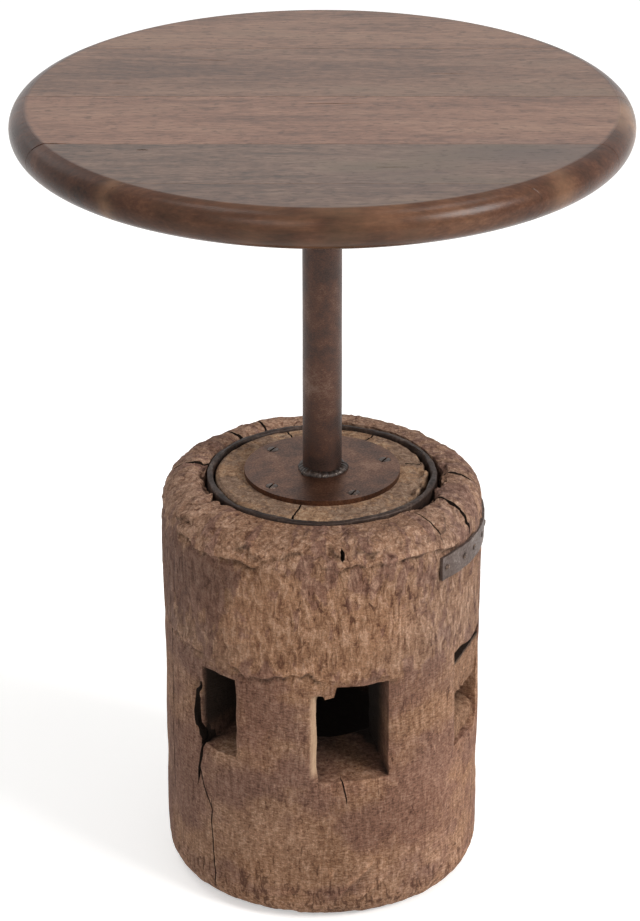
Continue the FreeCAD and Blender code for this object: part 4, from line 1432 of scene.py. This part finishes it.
    def mortise_form(self, mortise: Mortise) -> bpy.types.Object:
        """The air of one mortise, with hand-chopped walls.

        Args:
            mortise: Its place and size.

        Returns:
            A closed mesh to take out of the hub.
        """
        half = mortise.width / 2
        corners = [(-half, mortise.sill), (half, mortise.sill), (half, mortise.head), (-half, mortise.head)]
        if mortise.step[0]:
            wide, tall = mortise.step
            corners[3:] = [
                (wide - half, mortise.head),
                (wide - half - 2.0, mortise.head - tall + 3.0),
                (-half + 2.0, mortise.head - tall),
                (-half, mortise.head - tall - 3.0),
            ]
        outline = np.array(along([*corners, corners[0]], 5.0))
        depths = np.linspace(30.0, 140.0, 23)
        rows = []
        for depth in depths:
            spots = np.c_[outline[:, 0], np.full(len(outline), depth), outline[:, 1]]
            chop = self.grit.rough(spots + mortise.turn, (9.0, 30.0, 9.0), 2) * 1.1
            centre = np.array([0.0, (mortise.sill + mortise.head) / 2])
            away = outline - centre
            away /= np.linalg.norm(away, axis=1, keepdims=True)
            rows.append(np.c_[outline + away * chop[:, None], np.full(len(outline), depth)])
        walls = np.concatenate(rows)
        out, beside = facing(mortise.turn)
        flat = walls[:, :1] * beside + walls[:, 2:] * out
        points = np.c_[flat, walls[:, 1]]
        count = len(outline)
        faces: list[Sequence[int]] = list(loop_faces(len(depths), count, closed_rows=False))
        faces += [list(range(count))[::-1], [len(points) - count + i for i in range(count)]]
        return mesh_piece("mortise_air", points, faces)

    def split_form(self, split: Split) -> bpy.types.Object:
        """The air of one drying split, jagged and closing inward.

        Args:
            split: Its place and size.

        Returns:
            A closed mesh to take out of the hub.
        """
        radii = np.linspace(split.inner, split.outer, 14)
        heights = np.linspace(split.low, split.high, max(6, int((split.high - split.low) / 5)))
        grid_r, grid_z = grid(radii, heights)
        spots = np.c_[grid_r, np.full(len(grid_r), split.turn * 3.0), grid_z]
        wander = split.wander * self.grit.rough(spots, (9.0, 9.0, 14.0), 2)
        share_r = (grid_r - split.inner) / (split.outer - split.inner)
        share_z = (grid_z - split.low) / (split.high - split.low)
        wander += split.lean * (share_z - 0.5)
        if split.inner > 100.0:
            open_ = smooth(0.0, 0.55, share_r) * smooth(0.0, 0.2, share_z) * smooth(1.0, 0.8, share_z)
        else:
            open_ = smooth(0.0, 0.5, share_z)
        thick = split.width / 2 * open_ * (0.85 + 0.5 * self.grit.rough(spots + 50.0, 8.0, 2)) + 0.02
        out, beside = facing(split.turn)
        sheets = []
        for way in (1.0, -1.0):
            flat = grid_r[:, None] * out + (wander + way * thick)[:, None] * beside
            sheets.append(np.c_[flat, grid_z])
        points = np.concatenate(sheets)
        faces = slab_faces(len(heights), len(radii))
        piece = mesh_piece("split_air", points, faces)
        # The split's faces are marked so that the wood paints them in near-black shade.
        layer = piece.data.attributes.new("cut", "FLOAT", "FACE")
        layer.data.foreach_set("value", np.ones(len(faces), np.float32))
        return piece

    def nave(self) -> bpy.types.Object:
        """The hub's own wood, worn, chopped and split."""
        piece = turned("hub_weathered_nave", self.section(), self.columns, self.worn)
        cutters = [self.mortise_form(mortise) for mortise in self.mortises]
        cutters += [self.split_form(split) for split in self.splits]
        carve(piece, cutters)
        tidy_mesh(piece.data, 48.0)
        self.weather_and_light(piece)
        return piece

    def weather_and_light(self, piece: bpy.types.Object) -> None:
        """Stores where painted shade and painted light go, and where the wood is skinned, bleached, dusty,
        flecked and freshly broken.

        Args:
            piece: The hub's wood in its final form.
        """
        points = points_of(piece)
        turn, radius, z = polar(points)
        crown = np.maximum(self.height - self.lowered(points) - z, 0.0)
        below = np.minimum(np.maximum(self.radius - radius, 0.0), crown)
        ease = np.where((self.radius - radius < self.crown) & (crown < self.crown), 8.0, 2.5)
        # Painted shade in the hollows: in creases where the piece hems itself in, under the ledges, in the
        # left mortise and everywhere inside.
        crease_shade = smooth(0.22, 0.62, occlusion_shade(piece, 15.0))
        broken = smooth(-0.1, 0.1, self.grit.rough(points, 9.0, 2))
        under, edge = 0.0 * z, 0.0 * z
        for lip, front in self.lips(turn):
            under = np.maximum(under, 0.75 * front * bump(z, lip - 2.0, 1.5) * broken)
            edge = np.maximum(edge, front * bump(z, lip + 2.2, 2.0))
        left = self.mortises[LEFT]
        off = np.radians(turn - left.turn)
        beside = np.where(np.cos(off) > 0.0, np.abs(radius * np.sin(off) + 4.0), self.radius)
        left_mortise_shade = smooth(1.0, 6.0, below) * (beside < left.width / 2 + 10.0)
        left_mortise_shade *= (z > left.sill + 4.0) & (z < left.head + 4.0)
        left_mortise_shade *= 0.6 + 0.4 * smooth(left.sill + 8.0, left.sill + 20.0, z)
        buried = np.maximum(smooth(0.0, 1.0, (below - ease) / 40.0), left_mortise_shade)
        # Less painted shade on the mortises' sills.
        for mortise in self.mortises:
            beside = np.abs(self.radius * np.radians(apart(turn, mortise.turn)))
            buried *= 1.0 - 0.6 * (beside < mortise.width / 2 + 12.0) * bump(z, mortise.sill, 3.0)
        store(piece, "hollow", np.maximum(np.maximum(crease_shade * (buried < 0.3), under), buried))
        store(piece, "skin", self.skin(turn, z))
        layer, facet = self.shoulder(turn, z)
        hollow, burr = self.scratches(turn, z)
        # Bleached patches of wood, and painted light: the crown and the lower right side lighter, where the
        # light falls on them. Lighter at the ledges' upper edges and the burrs above the gouges, darker in
        # the gouges, darker wood below the turning line and at the left shoulder.
        bleach = patched(self.lighter, turn, z) - 0.12 + 0.12 * self.grit.rough(points + 90.0, 34.0, 3)
        bleach += 0.13 * smooth(300.0, 318.0, z) + 0.14 * smooth(-30.0, -80.0, turn) * smooth(305.0, 322.0, z)
        bleach += 0.24 * smooth(25.0, 60.0, turn) * smooth(110.0, 90.0, turn) * smooth(200.0, 100.0, z)
        bleach -= 0.11 * smooth(226.0, 200.0, z) + 0.05 * bump(turn, 5.0, 30.0) * smooth(120.0, 200.0, z)
        bleach += 0.16 * edge + 0.22 * burr - 0.12 * hollow - 0.14 * layer + 0.07 * facet
        store(piece, "bleach", bleach)
        # Grey dust, most at the sides and on the crown, and flecks, most at the upper front.
        dust = 0.15 + 0.45 * smooth(20.0, 60.0, np.abs(turn)) + 0.2 * smooth(300.0, 318.0, z)
        dust *= 1.0 - smooth(226.0, 200.0, z) * (0.35 + 0.35 * smooth(-30.0, 10.0, turn))
        dust += 0.3 * self.grit.rough(points + 150.0, 46.0, 2)
        dust -= 0.35 * bump(turn, 0.0, 30.0) * bump(z, 250.0, 45.0)
        store(piece, "dust", np.clip(dust, 0.0, 1.0))
        fleck = 0.25 + 0.75 * bump(turn, 8.0, 30.0) * bump(z, 278.0, 36.0)
        fleck = np.clip(fleck + 0.7 * self.grit.rough(points + 170.0, 38.0, 3), 0.05, 1.0)
        fleck *= (1.0 - 0.6 * smooth(314.0, 327.0, z)) * (1.0 - 0.8 * facet)
        store(piece, "fleck", fleck + (1.0 - fleck) * smooth(214.0, 204.0, z))
        # Fresh wood in the front mortise's chip.
        front = self.mortises[FRONT]
        jamb = -front.width / 2
        across = self.radius * np.radians(turn - front.turn)
        chip = smooth(jamb - 7.0, jamb - 4.5, across) * smooth(jamb + 3.5, jamb + 1.5, across)
        chip *= smooth(129.0, 136.0, z) * smooth(202.0, 198.0, z) * smooth(104.0, 111.0, radius)
        store(piece, "fresh", chip)

    def plug(self) -> bpy.types.Object:
        """The turned disc of wood inside the upper ring."""
        r, bend = self.plug_radius, self.plug_round
        low, top = self.height - self.depth, self.height - self.plug_sink
        section = along([(0.0, low), (r, low)], 12.0) + along([(r, low), (r, top - bend)], 6.0)
        section += arc((r - bend, top - bend), bend, 0.0, 90.0, 1.2)
        section += along([(r - bend, top), (0.0, top)], 1.9)
        section.append((0.0, top))
        grit = Grit(41)

        def worn(points: Array, side: Array, turn: Array) -> Array:
            """Rots the right-hand side and leaves the plate's seat flat."""
            _, radius, z = polar(points)
            rim = smooth(62.0, 68.0, radius) * smooth(top - 14.0, top - 4.0, z)
            right = bump(turn, 80.0, 38.0)
            rotten = np.clip(2.2 + 6.0 * grit.rough(points + 9.0, (7.0, 7.0, 20.0), 3), -0.4, 6.0)
            drop = rim * (0.5 + 0.6 * grit.rough(points, (6.0, 6.0, 6.0), 3))
            drop += rim * right * rotten * smooth(66.0, 78.0, radius)
            drop += 0.35 * rim * np.sin(radius * 2.2 + 2.0 * grit.rough(points, 20.0, 1)) * (1.0 - right)
            gap = 3.0 * bump(turn, 80.0, 28.0) * np.clip(0.6 + 1.6 * grit.rough(points, 8.0, 3), 0.0, 1.6)
            gap *= smooth(72.0, 82.0, radius) * smooth(top - 16.0, top - 6.0, z)
            moved = points - place(turn, gap, 0.0 * gap)
            moved[:, 2] -= np.maximum(drop, -0.4)
            return moved

        piece = turned("core_plug_worn", section, 300, worn)
        carve(piece, [self.split_form(crack) for crack in self.cracks])
        tidy_mesh(piece.data, 48.0)
        points = points_of(piece)
        _, radius, z = polar(points)
        # Painted shade: darker the deeper a point lies below the plug's top, and in creases where the plug
        # hems itself in.
        inside = np.maximum(84.0 - radius, 0.0) + 40.0 * (z > top - 12.0)
        sunk = np.minimum(np.maximum(top - z, 0.0), inside)
        store(piece, "hollow", np.maximum(smooth(1.2, 10.0, sunk), smooth(0.38, 0.8, occlusion_shade(piece, 10.0))))
        store(piece, "fresh", np.zeros(len(points)))
        store(piece, "skin", smooth(-0.1, 0.3, grit.rough(points, 26.0, 3)))
        return piece

    def ring(self) -> bpy.types.Object:
        """The forged ring let into the crown."""
        inner, outer, edge = self.ring_outer - self.ring_wall, self.ring_outer, self.ring_edge
        low, top = self.height - self.depth, self.height
        section = along([(inner, low), (outer, low)], 3.0) + along([(outer, low), (outer, top - edge)], 4.0)
        section += arc((outer - edge, top - edge), edge, 0.0, 90.0, 0.6)
        section += along([(outer - edge, top), (inner + edge, top)], 1.0)
        section += arc((inner + edge, top - edge), edge, 90.0, 180.0, 0.6)
        section += along([(inner, top - edge), (inner, low)], 4.0)
        grit = Grit(67)

        def forged(points: Array, side: Array, turn: Array) -> Array:
            """Hammer marks and rust loss along the upper edge."""
            _, reach, z = polar(points)
            upper = smooth(top - 20.0, top - 4.0, z)
            beat = 0.7 * grit.rough(points, (16.0, 16.0, 9.0), 2) + 0.35 * grit.rough(points, 4.0, 2) - 0.35
            moved = points + side * (np.minimum(beat, 0.25) * upper)[:, None]
            moved[:, 2] += upper * (0.9 * grit.rough(points + 5.0, 40.0, 1) - 1.4)
            lost = 1.3 + 1.2 * grit.rough(points + 17.0, (12.0, 12.0, 6.0), 2)
            lost *= smooth(top - 9.0, top - 1.0, z)
            inside = smooth((inner + outer) / 2 + 0.8, inner + 0.4, reach)
            return moved + place(turn, np.clip(lost, 0.0, 2.2) * inside, 0.0 * turn)

        return turned("crown_ring_forged", section, 360, forged)

    def strap(self) -> bpy.types.Object:
        """The repair strap, bent by hand round the shoulder."""
        grit = Grit(83)
        start, (back, face) = self.strap_turns[0], self.strap_faces
        turns = np.linspace(*self.strap_turns, 96)
        levels = np.linspace(*self.strap_levels, 13)
        grid_turn, grid_z = grid(turns, levels)
        spots = place(grid_turn, 124.0, grid_z)
        ragged = 0.55 * grit.rough(spots, (9.0, 9.0, 30.0), 2)
        edge = np.where(np.isclose(grid_z, levels[0]) | np.isclose(grid_z, levels[-1]), 1.0, 0.0)
        level = grid_z + ragged * edge
        lift = 0.35 * grit.rough(spots, 14.0, 2) + 0.5 * smooth(start + 1.6, start, grid_turn)
        sheets = [place(grid_turn, face + lift, level), place(grid_turn, back + lift * 0.3, level)]
        points = np.concatenate(sheets)
        return mesh_piece("repair_strap_bent", points, slab_faces(len(levels), len(turns)), 35.0)

    def stub(self) -> bpy.types.Object:
        """The broken spoke left in the right-hand mortise."""
        mortise = self.mortises[RIGHT]
        grit = Grit(97)
        tall, reach, inner = self.stub_height, self.stub_reach, self.stub_inner
        wide = mortise.width - 2 * self.stub_slack
        across = np.linspace(-wide / 2, wide / 2, 28)
        up = np.linspace(0.0, tall, 38)
        grid_x, grid_z = grid(across, up)
        share = grid_z / tall
        slant = share + 0.10 * grid_x / wide
        steps = (0.0, 0.19, 0.25, 0.31, 0.48, 0.54, 1.0)
        face = np.interp(slant, steps, (0.95, 0.93, 0.80, 0.62, 0.68, 0.95, 0.99))
        spots = np.c_[grid_x, 0 * grid_x, grid_z]
        jagged = np.interp(slant, (0.0, 0.19, 0.3, 0.48, 0.55, 1.0), (1.4, 2.0, 8.0, 7.0, 1.6, 1.2))
        splinter = jagged * grit.rough(spots, (5.0, 5.0, 7.0), 3)
        depth = inner + np.minimum(face * reach + splinter, reach + 0.6)
        front = np.c_[grid_x, depth, grid_z]
        back = np.c_[grid_x, np.full(len(grid_x), inner), grid_z]
        local = np.concatenate([front, back])
        out, beside = facing(mortise.turn)
        flat = local[:, :1] * beside + local[:, 1:2] * out
        points = np.c_[flat, mortise.sill + self.stub_slack + local[:, 2]]
        piece = mesh_piece("spoke_stub_splintered", points, slab_faces(len(up), len(across)), 40.0)
        # Painted shade: darker deep in the mortise and along the stub's top under the mortise's head.
        deep = points_of(piece)[:, :2] @ out
        upper = points_of(piece)[:, 2] - mortise.sill
        store(piece, "hollow", np.maximum(smooth(116.0, 96.0, deep), smooth(tall - 4.0, tall, upper)))
        store(piece, "fresh", np.zeros(len(deep)))
        store(piece, "skin", np.full(len(deep), 0.25))
        store(piece, "fleck", np.ones(len(deep)))
        return piece

    def build(self) -> None:
        """Builds and dresses every piece of the hub."""
        # Elm left outdoors: tan flakes beside a purple-brown skin, matt and fibrous.
        wood = WeatheredWood(
            "weathered_hub_elm", ("#643f2c", "#966f53", "#bd967b"), ("#54362b", "#805b4a", "#9c7865")
        ).make()
        finish_piece(self.nave(), wood, "hub")
        # Core wood worn by hands and rain: paler and greyer than the hub, and smoother.
        core = WeatheredWood(
            "worn_core_wood",
            ("#6c513f", "#9d7c60", "#b89d82"),
            ("#634d40", "#836a58", "#9d8672"),
            relief=0.45, fibre_mm=4.0, drip_mm=7.0, patch_mm=30.0, tick_mm=1.8,
        ).make()
        finish_piece(self.plug(), core, "core_plug")
        # Oak broken across its grain: darker than the hub, with fine splinters.
        spoke = WeatheredWood(
            "broken_spoke_oak",
            ("#553826", "#83614a", "#a58369"),
            ("#4a3226", "#6d503f", "#876a56"),
            fibre_mm=2.4, drip_mm=6.0, patch_mm=30.0, tick_mm=1.4,
        ).make()
        finish_piece(self.stub(), spoke, "spoke_stub")
        # Forged iron with old scale: nearly black and dull.
        iron = IronFinish(
            "forged_ring_iron",
            ("#1b130f", "#2d201a", "#3a2a21", "#5f4e43"),
            rough=(0.45, 0.66), pit_mm=2.6, cloud_mm=16.0, relief=0.35,
        ).make()
        finish_piece(self.ring(), iron, "crown_ring")
        dress_node("foot_ring", iron)
        # Thin band iron left outdoors: grey-brown and dull.
        sheet = IronFinish(
            "weathered_strap_iron",
            ("#342721", "#4f4039", "#5c4e48", "#7a6e67"),
            rough=(0.48, 0.66), cloud_mm=20.0, relief=0.30,
        ).make()
        finish_piece(self.strap(), sheet, "repair_strap")


@dataclass
class Studio:
    """Pale floor, soft lights and the camera."""

    focal_px: float = 3424.29
    frame_px: float = 921.0
    camera: tuple[float, float, float] = (-0.0017, -2.3828, 1.4616)
    pitch: float = 25.19
    sky: float = 0.46
    floor_lift: float = 0.42
    # Lamps: name, place in metres, height they aim at on the axis, side in metres and power in watts.
    lamps: tuple[tuple[str, tuple[float, float, float], float, float, float], ...] = (
        ("key_softbox", (2.6, -1.8, 2.3), 0.2, 1.3, 104.0),
        ("fill_softbox", (-1.0, -2.7, 2.4), 0.3, 1.2, 14.0),
        ("back_softbox", (-1.8, 1.2, 2.0), 0.35, 1.2, 4.0),
        ("overhead_left", (-0.95, -0.25, 3.0), 0.6, 0.8, 9.0),
        ("overhead_right", (1.1, -0.1, 3.0), 0.6, 0.8, 10.0),
    )

    def lamp(
        self, name: str, spot: tuple[float, float, float], aim: float, size: float, power: float
    ) -> None:
        """Adds one soft square lamp.

        Args:
            name: Name of the lamp.
            spot: Where it hangs, in metres.
            aim: Height on the table's axis that it points at, in metres.
            size: Its side in metres.
            power: Its power in watts.
        """
        data = bpy.data.lights.new(name, "AREA")
        data.size = size
        data.energy = power
        lamp = bpy.data.objects.new(name, data)
        lamp.location = spot
        way = np.array((0.0, 0.0, aim)) - np.array(spot)
        flat = math.hypot(way[0], way[1])
        lamp.rotation_euler = (math.atan2(flat, -way[2]), 0.0, math.atan2(-way[0], way[1]))
        bpy.context.scene.collection.objects.link(lamp)

    def seen(self, tree: bpy.types.NodeTree) -> bpy.types.NodeSocket:
        """Tells what is seen or mirrored from what only gives light.

        Args:
            tree: The node tree that asks.

        Returns:
            1 for rays of the camera, mirrored and passing ones, and 0 for the rest.
        """
        path = add(tree, "LightPath", out=None)
        seen = path["Is Camera Ray"]
        for ray in ("Is Glossy Ray", "Is Transmission Ray"):
            seen = add(tree, "Math", {0: seen, 1: path[ray]}, operation="MAXIMUM")
        return seen

    def floor(self) -> None:
        """A wide pale floor that keeps the table's shadow."""
        corners, radius, level = 64, 7000.0, -0.4
        turn = np.linspace(0.0, 2 * math.pi, corners, endpoint=False)
        points = np.c_[radius * np.sin(turn), radius * np.cos(turn), np.full(corners, level)]
        piece = mesh_piece("studio_floor", points, [list(range(corners))[::-1]])
        # Matt paint: near white, so that the shadow under the table stays soft and pale.
        material, tree, shader = blank_finish("matt_studio_floor")
        seen = self.seen(tree)
        lift = add(tree, "Math", {0: seen, 1: self.floor_lift}, operation="MULTIPLY")
        feed(tree, shader, {"Base Color": linear("#f4f3f1"), "Roughness": 0.9})
        feed(tree, shader, {"Emission Color": linear("#ffffff"), "Emission Strength": lift})
        piece.data.materials.append(material)

    def build(self) -> None:
        """Sets the floor, world, lamps, camera and view."""
        scene = bpy.context.scene
        self.floor()
        world = bpy.data.worlds.new("studio_white")
        scene.world = world
        world.use_nodes = True
        tree = world.node_tree
        seen = self.seen(tree)
        level = add(tree, "MapRange", {0: seen, 3: self.sky, 4: 1.0})
        feed(tree, tree.nodes["Background"], {"Color": linear("#ffffff"), "Strength": level})
        for lamp in self.lamps:
            self.lamp(*lamp)
        data = bpy.data.cameras.new("photo_camera")
        data.lens = self.focal_px / self.frame_px * data.sensor_width
        data.clip_end = 50.0
        camera = bpy.data.objects.new("photo_camera", data)
        camera.location = self.camera
        camera.rotation_euler = (math.radians(90.0 - self.pitch), 0.0, 0.0)
        scene.collection.objects.link(camera)
        scene.camera = camera
        scene.view_settings.view_transform = "Standard"


def main() -> None:
    """Builds the table and its studio."""
    logging.basicConfig(level=logging.INFO, format="%(name)s %(message)s")
    Tabletop().build()
    Post().build()
    Fasteners().build()
    Hub().build()
    Studio().build()


if __name__ == "__main__":
    main()
